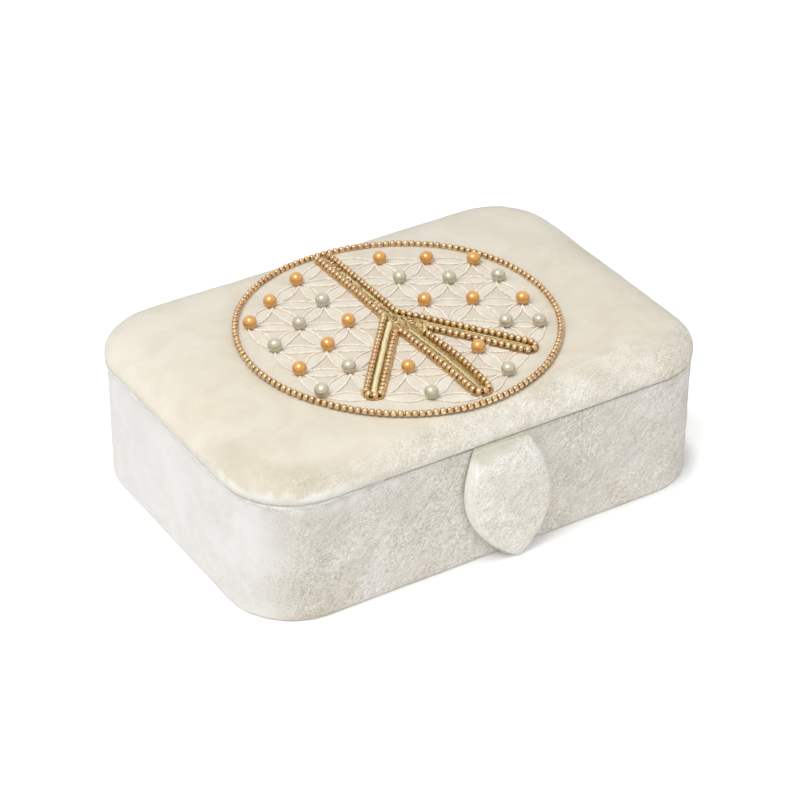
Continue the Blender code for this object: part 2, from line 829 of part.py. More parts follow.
def tab_half_width(down):
    """Half the leaf's width: a shoulder, a full belly and a point."""
    share = min(max(down / TAB_LENGTH, 0), 1)
    if share < TAB_WIDEST:
        rise = math.sin(math.pi / 2 * share / TAB_WIDEST)
        return (TAB_TOP_WIDTH + (TAB_WIDTH - TAB_TOP_WIDTH) * rise) / 2
    fall = (share - TAB_WIDEST) / (1 - TAB_WIDEST)
    return TAB_WIDTH / 2 * max(1 - fall**2, 0) ** TAB_POINT


def leaf(inset, depth, top=0.0, shrink=1.0):
    """One ring of the tab, drawn in by inset, at a depth in front of its back face.
    The depth may be a function of the distance down from the top."""
    tip = TAB_LENGTH - TIP_FACTOR * inset
    left, right = [], []
    for i in range(LEAF_STEPS + 1):
        share = i / LEAF_STEPS
        down = top + (tip - top) * (1 - math.cos(math.pi * share)) / 2
        spread = tab_half_width(down * TAB_LENGTH / tip) * (1 - 2 * inset / TAB_WIDTH) * shrink
        y = TAB_BACK_Y - (depth(down) if callable(depth) else depth)
        z = TAB_TOP_Z - down
        left.append(Vector((tab_middle(down) - spread, y, z)))
        right.append(Vector((tab_middle(down) + spread, y, z)))
    return left + right[-2::-1]


def tab_thick(down):
    """Full thickness of the tab: thin cloth at the fold, swelling to the padded leaf."""
    share = min(max(down / TAB_SWELL, 0), 1)
    smooth = share * share * (3 - 2 * share)
    return TAB_TOP_THICK + (TAB_THICK - TAB_TOP_THICK) * smooth


def crown_rings(inset, low, taken, top=0.0, crown=CROWN_SHARES, lowered=0.0):
    """Rings over a crowned leaf to its middle line, above a back at depth low. The crown
    lies under the tab's own front by the thickness taken, and is lowered further if asked."""

    def level(share):
        def depth(down):
            full = max(tab_thick(down) - taken, low + CLEAR)
            return low + (full - low) * share - lowered

        return depth

    return [leaf(inset, level(share), top, shrink) for shrink, share in crown]


def magnet_place():
    return tab_middle(MAGNET_DOWN), TAB_TOP_Z - MAGNET_DOWN


def make_tab(mats, axis):
    bm = bmesh.new()
    join_rings(bm, [leaf(CLEAR, 0.0), leaf(CLEAR, TAB_BACK)])
    finish("tab_back_velvet", bm, mats["velvet"], axis)

    shell_low = TAB_BACK + CLEAR
    hollow_top = TAB_SWELL
    hollow_in = TAB_CLOTH * HOLLOW_FACTOR
    bm = bmesh.new()
    outer = [leaf(0.0, shell_low)] + crown_rings(0.0, shell_low, 0.0)
    inner = [leaf(hollow_in, shell_low, hollow_top)]
    inner += crown_rings(hollow_in, shell_low, TAB_CLOTH, hollow_top)
    join_rings(bm, inner[::-1] + outer, caps=(False, False))
    finish("tab_velvet", bm, mats["velvet"], axis, smooth_angle=50.0)

    board_low = shell_low
    board_high = board_low + TAB_BOARD
    board_in = hollow_in + CLEAR
    board_top = hollow_top + CLEAR
    bm = bmesh.new()
    join_rings(bm, [leaf(board_in, board_low, board_top), leaf(board_in, board_high, board_top)])
    board = finish("tab_board", bm, mats["board"], axis)
    x, z = magnet_place()
    front, back = TAB_BACK_Y - board_high, TAB_BACK_Y - board_low
    cut_with(board, disc_y("cut_magnet", (x, z), MAGNET / 2 + CLEAR, front - VELVET, back + VELVET, None))
    disc_y("tab_magnet", (x, z), MAGNET / 2, front, back, mats["steel"], axis)

    bm = bmesh.new()
    wadding_crown = CROWN_SHARES[2:]
    wadding = [leaf(hollow_in, board_high + CLEAR, board_top, wadding_crown[0][0])]
    wadding += crown_rings(hollow_in, shell_low, TAB_CLOTH, board_top, wadding_crown, 1.5 * CLEAR)
    join_rings(bm, wadding, caps=(True, False))
    finish("tab_wadding", bm, mats["wadding"], axis)


def main():
    clear_scene()
    mats = make_materials()
    make_base(mats)
    lid_axis = axis_empty("lid_axis", (0.0, HINGE_Y, HINGE_Z))
    tab_axis = axis_empty("tab_axis", (0.0, TAB_AXIS_Y, HINGE_Z), lid_axis)
    make_lid(mats, lid_axis)
    make_medallion_cloth(mats, lid_axis)
    make_bead_ring(mats, lid_axis)
    make_sign(mats, lid_axis)
    make_pearls(mats, lid_axis)
    make_tab(mats, tab_axis)


main()
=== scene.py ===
# The velvet tarot box as the photograph shows it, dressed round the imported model.
# Lengths are in metres. Names that end in MM hold millimetres and are scaled where they are used.

import json
import math

import bmesh
import bpy
import numpy as np
from mathutils import Matrix, Vector, noise


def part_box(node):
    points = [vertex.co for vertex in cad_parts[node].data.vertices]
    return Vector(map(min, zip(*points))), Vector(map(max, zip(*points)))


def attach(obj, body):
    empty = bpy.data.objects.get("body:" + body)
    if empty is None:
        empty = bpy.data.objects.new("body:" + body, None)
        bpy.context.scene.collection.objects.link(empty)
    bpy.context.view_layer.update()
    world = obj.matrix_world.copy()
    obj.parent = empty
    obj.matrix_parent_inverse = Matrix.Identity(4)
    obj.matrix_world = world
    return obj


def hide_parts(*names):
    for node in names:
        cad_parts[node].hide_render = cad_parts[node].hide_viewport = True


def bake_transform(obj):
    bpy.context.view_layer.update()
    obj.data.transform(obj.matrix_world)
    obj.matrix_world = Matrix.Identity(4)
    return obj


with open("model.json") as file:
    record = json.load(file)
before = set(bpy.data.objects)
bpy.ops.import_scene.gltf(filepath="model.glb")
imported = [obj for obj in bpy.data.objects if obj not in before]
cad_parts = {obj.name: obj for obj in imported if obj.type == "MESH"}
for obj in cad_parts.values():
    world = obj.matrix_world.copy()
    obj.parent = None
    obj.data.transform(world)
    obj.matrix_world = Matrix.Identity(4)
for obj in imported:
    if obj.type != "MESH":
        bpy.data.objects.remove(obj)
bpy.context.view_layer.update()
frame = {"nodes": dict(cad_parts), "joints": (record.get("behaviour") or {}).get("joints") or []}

NODES = frame["nodes"]
SCENE = bpy.context.scene
MM = 0.001

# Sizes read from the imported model
WALL_LOW, WALL_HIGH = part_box("wall_velvet")
LID_LOW, LID_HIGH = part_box("lid_velvet")
LENGTH = WALL_HIGH.x - WALL_LOW.x
WIDTH = WALL_HIGH.y - WALL_LOW.y
RIM = WALL_HIGH.z
LID_UNDER = LID_LOW.z
JOINTS = {joint["name"]: joint for joint in frame["joints"]}
HINGE = Vector(JOINTS["lid_hinge"]["pos_m"])
FOLD = Vector(JOINTS["tab_hinge"]["pos_m"])

# Form of the box, as the model has it
CORNER = 27 * MM
LID_SIDE = 1.4 * MM
SHOULDER_IN = 12 * MM
SHOULDER_UP = 9.2 * MM
DOME_RISE = 1.36 * MM
HEM = 8 * MM
EDGE_ROUND = 1.6 * MM
RIM_ROUND = 0.6 * MM
TURN_IN = 5 * MM
TRAY_IN = 6.8 * MM
VELVET = 1.2 * MM
SHOULDER_Z = LID_UNDER + LID_SIDE
PLATEAU_Z = SHOULDER_Z + SHOULDER_UP

# The medallion
RING_RADIUS = 61.2 * MM
RING_BULGE = 1.4 * MM
RING_BULGE_TURN = math.radians(150)
BEAD = 2.5 * MM
BEAD_PITCH = 2.6 * MM
PEARL = 5.6 * MM
RING_LIFT = 1.15 * MM
SIGN_LIFT = 1.4 * MM
PEARL_LIFT = 2.6 * MM

# The line of beads round the peace sign: (x, y, rounding) in millimetres
SIGN_CORNERS_MM = (
    (-1.75, 58.4, 0.0),
    (-2.8, 6.5, 3.0),
    (-37.1, -35.9, 2.8),
    (-32.8, -39.5, 2.8),
    (-3.1, -2.8, 1.6),
    (-1.6, -30.0, 12.0),
    (-1.0, -55.8, 3.4),
    (5.6, -55.6, 3.4),
    (6.3, -32.0, 14.0),
    (4.0, -4.9, 1.6),
    (31.8, -43.0, 3.0),
    (36.7, -39.5, 3.0),
    (2.8, 6.7, 3.0),
    (3.7, 58.3, 0.0),
)

# Pearls by column of the lattice, left to right, and from the far edge to the near one, in
# millimetres: (x, y, golden)
PEARLS_MM = (
    (-49.3, 28.1, True), (-49.3, 9.1, False), (-49.5, -9.6, True), (-50.0, -26.6, False),
    (-35.0, 37.9, True), (-33.8, 17.7, False), (-32.2, -0.9, True), (-33.4, -18.2, False),
    (-17.9, 47.2, True), (-17.8, 27.5, False), (-17.1, 9.2, True),
    (-14.6, -29.6, True), (-16.2, -48.1, False),
    (18.2, 44.0, True), (16.6, 26.6, False), (15.7, 7.1, True),
    (15.0, -31.6, True), (16.5, -49.6, False),
    (33.6, 33.9, True), (32.9, 16.3, False), (32.2, -1.5, True), (33.9, -21.9, False),
    (49.0, 23.6, True), (50.3, 8.0, False), (48.8, -11.2, True), (45.0, -28.1, False),
)
LATTICE_MM = 19.0
LATTICE_REACH = 3

# Fitted camera: turn and height in degrees, the rest in millimetres of the box's own frame
CAMERA_TURN = -31.99
CAMERA_HEIGHT = 33.40
CAMERA_ROLL = 0.17
CAMERA_AWAY_MM = 1089.1
CAMERA_SIDE_MM = 0.34
CAMERA_DOWN_MM = 24.34
LENS_MM = 124.8


# Small helpers


def new_object(name, data):
    thing = bpy.data.objects.new(name, data)
    SCENE.collection.objects.link(thing)
    return thing


def mesh_of(name, bm):
    mesh = bpy.data.meshes.new(name)
    bm.to_mesh(mesh)
    bm.free()
    return mesh


def evaluated(piece, keep_layers=False):
    """A plain mesh of what a piece's modifiers make."""
    depsgraph = bpy.context.evaluated_depsgraph_get()
    return bpy.data.meshes.new_from_object(
        piece.evaluated_get(depsgraph), preserve_all_data_layers=keep_layers, depsgraph=depsgraph
    )


def keep_piece(name, bm, material, angle=60.0):
    """Turns a bmesh into a smooth object at the origin."""
    return keep_mesh(name, mesh_of(name, bm), material, angle)


def keep_mesh(name, mesh, material, angle):
    mesh.shade_smooth()
    mesh.set_sharp_from_angle(angle=math.radians(angle))
    mesh.materials.append(material)
    return new_object(name, mesh)


def join_rings(bm, rings, closed=False):
    """Quads between rings of equal count, from (x, y, z) rows."""
    rows = [[bm.verts.new(point) for point in ring] for ring in rings]
    pairs = list(zip(rows, rows[1:]))
    if closed:
        pairs.append((rows[-1], rows[0]))
    for low, high in pairs:
        for i in range(len(low)):
            j = (i + 1) % len(low)
            bm.faces.new((low[i], low[j], high[j], high[i]))
    return rows


def cap_ends(bm, rows):
    bm.faces.new(rows[0])
    bm.faces.new(rows[-1])


def close_ring(bm, ring):
    """Fills a ring of vertices with rungs from side to side."""
    low, high = 0, len(ring) - 1
    while high - low > 2:
        bm.faces.new((ring[low], ring[low + 1], ring[high - 1], ring[high]))
        low, high = low + 1, high - 1
    if high - low == 2:
        bm.faces.new((ring[low], ring[low + 1], ring[high]))


def mend(bm, reach=1e-6):
    bmesh.ops.remove_doubles(bm, verts=bm.verts, dist=reach)
    bmesh.ops.dissolve_degenerate(bm, edges=bm.edges, dist=reach)
    bmesh.ops.recalc_face_normals(bm, faces=bm.faces)


def points_of(mesh, kind="co"):
    found = np.empty(len(mesh.vertices) * 3)
    mesh.vertices.foreach_get(kind, found)
    return found.reshape(-1, 3)


def normals_of(mesh):
    return points_of(mesh, "normal")


def set_points(mesh, co):
    mesh.vertices.foreach_set("co", co.astype(np.float32).ravel())
    mesh.update()


def paint(mesh, name, values):
    """Keeps one number a vertex under a name that a material reads."""
    layer = mesh.attributes.get(name) or mesh.attributes.new(name, "FLOAT", "POINT")
    layer.data.foreach_set("value", np.full(len(mesh.vertices), values, np.float32))


def noise_at(places, size, shift=(0, 0, 0)):
    """Soft noise at each place, in lumps of about that size, which may differ by axis."""
    return np.array([noise.noise(Vector(p)) for p in np.asarray(places) / size + shift])


def roughened(mesh, lumps, keep):
    """Moves a mesh's points along their normals by layers of soft noise, (size, height, seed) in
    millimetres, each point by its share of it."""
    co = points_of(mesh)
    lift = np.zeros(len(co))
    for size, height, seed in lumps:
        lift += height * MM * noise_at(co, size * MM, (seed * 3.1, seed * 1.7, seed * 2.3))
    set_points(mesh, co + normals_of(mesh) * (lift * keep)[:, None])


def smooth_step(low, high, value):
    """0 up to low and 1 from high, smoothly between; the other way round where high is lower."""
    t = np.clip((np.asarray(value, float) - low) / (high - low), 0, 1)
    return t * t * (3 - 2 * t)


def polar(radius, angle):
    return radius * math.cos(angle), radius * math.sin(angle)


def rotated(arrow, angle):
    c, s = math.cos(angle), math.sin(angle)
    return Vector((c * arrow.x - s * arrow.y, s * arrow.x + c * arrow.y))


def mix_places(a, b, share):
    return a[0] + (b[0] - a[0]) * share, a[1] + (b[1] - a[1]) * share


# The rounded box outline


def outline(inset, z, scale=1.0, step=1.6 * MM):
    """Places round the box, evenly spread and in step from ring to ring."""
    radius = max(CORNER - inset, 0.2 * MM)
    mid_x, mid_y = LENGTH / 2 - inset - radius, WIDTH / 2 - inset - radius
    arc = max(round(CORNER * math.pi / 2 / step), 4)
    runs = (round(2 * (WIDTH / 2 - CORNER) / step), round(2 * (LENGTH / 2 - CORNER) / step))
    middles = ((mid_x, mid_y), (-mid_x, mid_y), (-mid_x, -mid_y), (mid_x, -mid_y))

    def on_arc(corner, turns):
        x, y = polar(radius, turns * math.pi / 2)
        return middles[corner % 4][0] + x, middles[corner % 4][1] + y

    places = []
    for corner in range(4):
        places += [on_arc(corner, corner + k / arc) for k in range(arc + 1)]
        ends = (places[-1], on_arc(corner + 1, corner + 1))
        run = runs[1 - corner % 2]
        places += [mix_places(*ends, k / run) for k in range(1, run)]
    return [(x * scale, y * scale, z) for x, y in places]


def inset_of(x, y):
    """How far places lie inside the box's outline."""
    over_x = np.abs(x) - (LENGTH / 2 - CORNER)
    over_y = np.abs(y) - (WIDTH / 2 - CORNER)
    outside = np.hypot(np.maximum(over_x, 0), np.maximum(over_y, 0))
    return CORNER - outside - np.minimum(np.maximum(over_x, over_y), 0)


def plateau_share(x, y):
    """The scale of the plateau's outline that passes through places."""
    x, y = np.abs(x), np.abs(y)
    half_x, half_y = LENGTH / 2 - SHOULDER_IN, WIDTH / 2 - SHOULDER_IN
    radius = CORNER - SHOULDER_IN
    mid_x, mid_y = half_x - radius, half_y - radius
    straight = np.maximum(x / half_x, y / half_y)
    a = mid_x**2 + mid_y**2 - radius**2
    b = x * mid_x + y * mid_y
    turned = (b - np.sqrt(np.maximum(b * b - a * (x * x + y * y), 0))) / a
    in_corner = (x > straight * mid_x) & (y > straight * mid_y)
    return np.where(in_corner, turned, straight)


def ring_radius(angle):
    """The ring is sewn on by hand: it bulges a little towards its left."""
    bulge = max(math.cos(angle - RING_BULGE_TURN), 0.0) ** 2
    return RING_RADIUS + RING_BULGE * bulge


def lid_top(x, y):
    """Height of the lid's skin at places."""
    x, y = np.asarray(x, float), np.asarray(y, float)
    inset = np.clip(inset_of(x, y), 0, SHOULDER_IN)
    share = (SHOULDER_IN - inset) / SHOULDER_IN
    shoulder = SHOULDER_Z + SHOULDER_UP * np.sqrt(1 - share**2)
    dome = PLATEAU_Z + DOME_RISE * (1 - np.minimum(plateau_share(x, y), 1) ** 2)
    return np.where(share > 0, shoulder, dome)


# Shader and geometry nodes


def feed(tree, socket, value):
    """Links another node's socket to this one, or sets it to a value."""
    if isinstance(value, bpy.types.NodeSocket):
        tree.links.new(value, socket)
    else:
        socket.default_value = value


def put(tree, kind, inputs=None, **settings):
    """Adds a node. inputs gives a socket's name or number a value or another node's socket."""
    node = tree.nodes.new(kind)
    for key, value in settings.items():
        setattr(node, key, value)
    for key, value in (inputs or {}).items():
        feed(tree, node.inputs[key], value)
    return node


def maths(tree, operation, a, b=0.0, c=0.0):
    return put(tree, "ShaderNodeMath", {0: a, 1: b, 2: c}, operation=operation).outputs[0]


def vector_maths(tree, operation, a, b=(0, 0, 0)):
    return put(tree, "ShaderNodeVectorMath", {0: a, 1: b}, operation=operation).outputs[0]


def spread(tree, value, low, high, to_low=0.0, to_high=1.0):
    """Maps a value's range to another, smoothly."""
    ends = {0: value, 1: low, 2: high, 3: to_low, 4: to_high}
    return put(tree, "ShaderNodeMapRange", ends, interpolation_type="SMOOTHSTEP").outputs[0]


def mixed(tree, share, a, b, blend_type="MIX"):
    colours = {0: share, 6: a, 7: b}
    node = put(tree, "ShaderNodeMix", colours, data_type="RGBA", blend_type=blend_type)
    return node.outputs[2]


def millimetres(tree):
    """The piece's own coordinates in millimetres."""
    place = put(tree, "ShaderNodeTexCoord").outputs["Object"]
    return put(tree, "ShaderNodeVectorMath", {0: place, 3: 1000.0}, operation="SCALE").outputs[0]


def noisy(tree, vector, size_mm, detail=2.0, rough=0.55, twist=0.0):
    by_node = isinstance(size_mm, bpy.types.NodeSocket)
    scale = maths(tree, "DIVIDE", 1.0, size_mm) if by_node else 1.0 / size_mm
    values = {"Vector": vector, "Scale": scale, "Detail": detail, "Roughness": rough}
    return put(tree, "ShaderNodeTexNoise", {**values, "Distortion": twist}).outputs["Fac"]


def shader_group(name, inputs, outputs):
    """A shader node group with named sockets, and its two end nodes."""
    tree = bpy.data.node_groups.new(name, "ShaderNodeTree")
    for label, value in inputs.items():
        kind = "NodeSocketColor" if isinstance(value, tuple) else "NodeSocketFloat"
        socket = tree.interface.new_socket(name=label, in_out="INPUT", socket_type=kind)
        socket.default_value = value
    for label in outputs:
        kind = "NodeSocketColor" if label == "Color" else "NodeSocketFloat"
        tree.interface.new_socket(name=label, in_out="OUTPUT", socket_type=kind)
    return tree, tree.nodes.new("NodeGroupInput"), tree.nodes.new("NodeGroupOutput")


def new_material(name, constants):
    """A material with a Principled shader: its node tree and the shader."""
    material = bpy.data.materials.new(name)
    material.use_nodes = True
    tree = material.node_tree
    shader = tree.nodes["Principled BSDF"]
    for key, value in constants.items():
        shader.inputs[key].default_value = value
    return material, tree, shader


def bumped(tree, shader, height, strength, depth_mm):
    bump = put(
        tree, "ShaderNodeBump", {"Height": height, "Strength": strength, "Distance": depth_mm * MM}
    )
    tree.links.new(bump.outputs["Normal"], shader.inputs["Normal"])


def attribute(tree, name):
    return put(tree, "ShaderNodeAttribute", attribute_name=name).outputs["Fac"]


def rgb(red, green, blue):
    return (red, green, blue, 1.0)


# Finishes


WHITE = rgb(1, 1, 1)


def make_pile_group():
    """Velvet pile: crushed patches, short combed fibres and the few that catch the light. Nap
    runs from 0, brushed flat, to 1, standing."""
    tree, given, result = shader_group(
        "velvet_pile",
        {
            "Deep": rgb(0.62, 0.58, 0.50),
            "Pale": rgb(0.80, 0.76, 0.66),
            "Nap": 1.0,
            "Patch mm": 14.0,
            "Fibre mm": 0.5,
            "Fibre contrast": 0.2,
        },
        ("Color", "Height"),
    )
    nap_and_shade, fibre = given.outputs["Nap"], given.outputs["Fibre mm"]
    place = millimetres(tree)
    lie = (0.0, math.radians(-38), math.radians(14))
    inputs = {"Vector": place, "Rotation": lie, "Scale": (3.4, 1, 1)}
    combed = put(tree, "ShaderNodeMapping", inputs, vector_type="TEXTURE").outputs[0]
    patches = noisy(tree, place, given.outputs["Patch mm"], 4.0, 0.6, 0.8)
    strokes = noisy(tree, combed, fibre, 3.0, 0.65)
    grain = noisy(tree, place, fibre, 3.0, 0.65)
    loose = spread(tree, noisy(tree, place, 34.0, 1.0), 0.42, 0.60, 0.15, 0.85)
    fibres = maths(tree, "MULTIPLY_ADD", maths(tree, "SUBTRACT", grain, strokes), loose, strokes)
    clumps = noisy(tree, combed, 2.2, 2.0, 0.6, 1.0)
    share = spread(tree, patches, 0.34, 0.66)
    colour = mixed(tree, share, given.outputs["Deep"], given.outputs["Pale"])
    standing = maths(tree, "MULTIPLY", nap_and_shade, given.outputs["Fibre contrast"])
    swing = maths(tree, "SUBTRACT", fibres, 0.5)
    swing = maths(tree, "MULTIPLY_ADD", maths(tree, "SUBTRACT", clumps, 0.5), 0.25, swing)
    gain = maths(tree, "MULTIPLY_ADD", swing, standing, 1.0)
    gain = maths(tree, "MAXIMUM", gain, 0.0)
    warm = [maths(tree, "POWER", gain, power) for power in (0.9, 1.0, 1.25)]
    shade = put(tree, "ShaderNodeCombineColor", dict(enumerate(warm))).outputs[0]
    shaded = mixed(tree, 1.0, colour, shade, "MULTIPLY")
    bright, dense = spread(tree, fibres, 0.56, 0.72), spread(tree, clumps, 0.52, 0.68)
    fleck = maths(tree, "MULTIPLY", maths(tree, "MULTIPLY", bright, dense), nap_and_shade)
    fleck = maths(tree, "MULTIPLY", fleck, 0.5)
    tree.links.new(mixed(tree, fleck, shaded, rgb(0.97, 0.95, 0.90)), result.inputs["Color"])
    relief = maths(tree, "MULTIPLY_ADD", clumps, 0.6, fibres)
    tree.links.new(maths(tree, "MULTIPLY", relief, nap_and_shade), result.inputs["Height"])
    return tree


def make_stain_group():
    """Faint handling marks: soft, warm and few."""
    inputs = {"Color": WHITE, "Amount": 0.3}
    tree, given, result = shader_group("handling_marks", inputs, ("Color",))
    place = millimetres(tree)
    marks = spread(tree, noisy(tree, place, 26.0, 2.0, 0.5, 0.4), 0.56, 0.78)
    share = maths(tree, "MULTIPLY", marks, given.outputs["Amount"])
    tint = mixed(tree, share, WHITE, rgb(1.0, 0.86, 0.76))
    marked = mixed(tree, 1.0, given.outputs["Color"], tint, "MULTIPLY")
    tree.links.new(marked, result.inputs["Color"])
    return tree


def make_weave_group():
    """Plain woven thread, over and under, on the piece's own X and Y."""
    tree, given, result = shader_group("plain_weave", {"Thread mm": 0.5}, ("Mask",))
    scale = maths(tree, "DIVIDE", math.pi, given.outputs["Thread mm"])
    parts = put(tree, "ShaderNodeSeparateXYZ", {0: millimetres(tree)})
    waves = []
    for axis in range(3):
        waves.append(maths(tree, "SINE", maths(tree, "MULTIPLY", parts.outputs[axis], scale)))
    flat = maths(tree, "MULTIPLY", waves[0], waves[1])
    upright = maths(tree, "MULTIPLY", maths(tree, "ADD", waves[0], waves[1]), waves[2])
    both = maths(tree, "ADD", flat, upright)
    tree.links.new(maths(tree, "MULTIPLY_ADD", both, 0.25, 0.5), result.inputs["Mask"])
    return tree


PILE = make_pile_group()
STAINS = make_stain_group()
WEAVE = make_weave_group()


def velvet(name, deep, pale, white, patch, fibre, contrast, sheen, depth, stain=0.3):
    """Crushed velvet. Where the nap stands it turns from deep and pale towards white; the nap
    value also paints shade and sheen, lower where the light falls so the cloth is painted lighter
    there.
    """
    material, tree, shader = new_material(
        name,
        {
            "Roughness": 0.9,
            "Sheen Weight": sheen,
            "Sheen Roughness": 0.45,
            "Sheen Tint": rgb(1.0, 0.99, 0.96),
            "Specular IOR Level": 0.2,
        },
    )
    nap_and_shade = attribute(tree, "nap_and_shade")
    values = {"Nap": nap_and_shade, "Patch mm": patch, "Fibre mm": fibre, "Fibre contrast": contrast}
    # painted shade and sheen: the nap value moves the colours towards the second pair
    values["Deep"] = mixed(tree, nap_and_shade, deep, white[0])
    values["Pale"] = mixed(tree, nap_and_shade, pale, white[1])
    pile = put(tree, "ShaderNodeGroup", values, node_tree=PILE)
    marks = {"Color": pile.outputs["Color"], "Amount": stain}
    marked = put(tree, "ShaderNodeGroup", marks, node_tree=STAINS)
    # painted shade: the velvet darkens towards a greyish beige where this mask is set
    shaded = mixed(tree, attribute(tree, "painted_shade"), WHITE, rgb(0.76, 0.745, 0.66))
    shaded = mixed(tree, 1.0, marked.outputs["Color"], shaded, "MULTIPLY")
    # painted light: whitish fluff mixed in, as pile that catches the light
    lit_fluff = spread(tree, pile.outputs["Height"], 0.3, 0.7)
    lit_fluff = mixed(tree, lit_fluff, rgb(0.86, 0.84, 0.79), rgb(1.0, 0.99, 0.965))
    shaded = mixed(tree, attribute(tree, "painted_light"), shaded, lit_fluff)
    tree.links.new(shaded, shader.inputs["Base Color"])
    bumped(tree, shader, pile.outputs["Height"], 0.6, depth)
    return material


def woven(name, colour, other, thread, depth=0.12, sheen=0.15):
    material, tree, shader = new_material(
        name, {"Roughness": 0.85, "Sheen Weight": sheen, "Sheen Roughness": 0.5}
    )
    weave = put(tree, "ShaderNodeGroup", {"Thread mm": thread}, node_tree=WEAVE).outputs["Mask"]
    blotch = noisy(tree, millimetres(tree), 9.0, 3.0)
    base = mixed(tree, spread(tree, blotch, 0.3, 0.7), colour, other)
    shade = mixed(tree, maths(tree, "MULTIPLY", weave, 0.35), base, rgb(0.45, 0.40, 0.33))
    tree.links.new(shade, shader.inputs["Base Color"])
    bumped(tree, shader, weave, 0.8, depth)
    return material


def metal(name, deep, bright, rough, tinted=True, rib_mm=0.0, coat=0.0):
    """Gold finish, from bead to bullion. Tint differs from bead to bead where it is stored."""
    lacquer = {"Coat Weight": coat, "Coat Roughness": 0.07, "Coat IOR": 2.1}
    material, tree, shader = new_material(name, {"Metallic": 1.0, "Roughness": rough, **lacquer})
    share = attribute(tree, "tint") if tinted else noisy(tree, millimetres(tree), 1.6, 3.0, 0.7)
    worn = noisy(tree, millimetres(tree), 0.9, 2.0, 0.6)
    share = maths(tree, "MULTIPLY_ADD", maths(tree, "SUBTRACT", worn, 0.5), 0.5, share)
    colour = mixed(tree, spread(tree, share, -0.1, 1.1), deep, bright)
    # painted shade: the beads' shade mask darkens the gold towards brown
    shade_tint = mixed(tree, attribute(tree, "painted_bead_shade"), WHITE, rgb(0.44, 0.27, 0.105))
    colour = mixed(tree, 1.0, colour, shade_tint, "MULTIPLY")
    tree.links.new(colour, shader.inputs["Base Color"])
    duller = rough + (0.05 if coat else 0.16)
    tree.links.new(spread(tree, worn, 0.3, 0.8, rough, duller), shader.inputs["Roughness"])
    if rib_mm:
        run = maths(tree, "MULTIPLY", attribute(tree, "along"), 2 * math.pi / rib_mm)
        bumped(tree, shader, maths(tree, "SINE", run), 1.0, rib_mm * 0.3)
    else:
        bumped(tree, shader, worn, 0.25, 0.05)
    return material


def nacre(name, deep, bright):
    """Pearl lacquer: a soft body under a clear coat, with faint bands of colour."""
    lacquer = {"Coat Weight": 1.0, "Coat Roughness": 0.12, "Coat IOR": 1.9}
    material, tree, shader = new_material(
        name, {"Metallic": 0.5, "Specular IOR Level": 0.3, **lacquer}
    )
    share = noisy(tree, millimetres(tree), 2.4, 2.0, 0.5, 0.6)
    colour = mixed(tree, spread(tree, share, 0.1, 0.9), deep, bright)
    # painted highlight and shade: lighter on top, dimmer at the sides and below
    light_and_shade = mixed(tree, attribute(tree, "painted_bead_shade"), rgb(1.18, 1.18, 1.15), rgb(0.96, 0.93, 0.88))
    tree.links.new(mixed(tree, 1.0, colour, light_and_shade, "MULTIPLY"), shader.inputs["Base Color"])
    tree.links.new(spread(tree, share, 0.2, 0.8, 0.22, 0.34), shader.inputs["Roughness"])
    bumped(tree, shader, noisy(tree, millimetres(tree), 1.8), 0.12, 0.1)
    return material


LID_VELVET = velvet(
    "lid velvet", rgb(0.76, 0.695, 0.565), rgb(0.81, 0.75, 0.63),
    (rgb(0.70, 0.65, 0.55), rgb(0.80, 0.76, 0.67)), 17.0, 0.42, 1.9, 0.1, 0.45, 0.25,
)
WALL_VELVET = velvet(
    "wall velvet", rgb(0.79, 0.77, 0.75), rgb(0.835, 0.815, 0.80),
    (rgb(0.67, 0.63, 0.555), rgb(0.74, 0.70, 0.635)), 19.0, 0.44, 2.4, 0.1, 0.55, 0.4,
)
TAB_VELVET = velvet(
    "tab velvet", rgb(0.84, 0.825, 0.775), rgb(0.90, 0.885, 0.845),
    (rgb(0.77, 0.735, 0.655), rgb(0.83, 0.80, 0.73)), 12.0, 0.48, 2.3, 0.1, 0.6, 0.2,
)
INNER_VELVET = velvet(
    "tray velvet", rgb(0.62, 0.56, 0.45), rgb(0.72, 0.66, 0.55),
    (rgb(0.66, 0.61, 0.51), rgb(0.74, 0.69, 0.59)), 12.0, 0.5, 0.5, 0.3, 0.3, 0.1,
)
SATIN = woven("satin lining", rgb(0.66, 0.57, 0.43), rgb(0.74, 0.66, 0.52), 0.35, 0.05, 0.3)
TAPE = woven("hinge ribbon", rgb(0.70, 0.64, 0.52), rgb(0.76, 0.71, 0.60), 0.45)
UNDER_CLOTH = woven("underside book cloth", rgb(0.55, 0.50, 0.41), rgb(0.62, 0.57, 0.47), 0.5)
SEED_GOLD = metal(
    "antique seed bead gold", rgb(0.84, 0.56, 0.205), rgb(1.0, 0.80, 0.40), 0.08, coat=1.0
)
RING_GOLD = metal("ring bead gold", rgb(0.86, 0.54, 0.18), rgb(1.0, 0.80, 0.40), 0.07, coat=1.0)
COUCHING = metal("couching thread", rgb(0.55, 0.36, 0.15), rgb(0.93, 0.72, 0.42), 0.35, False)
GOLD_PEARL = nacre("golden pearl lacquer", rgb(0.55, 0.225, 0.010), rgb(0.71, 0.335, 0.026))
SILVER_PEARL = nacre("silver pearl lacquer", rgb(0.44, 0.39, 0.285), rgb(0.56, 0.51, 0.39))


# Camera, floor and light


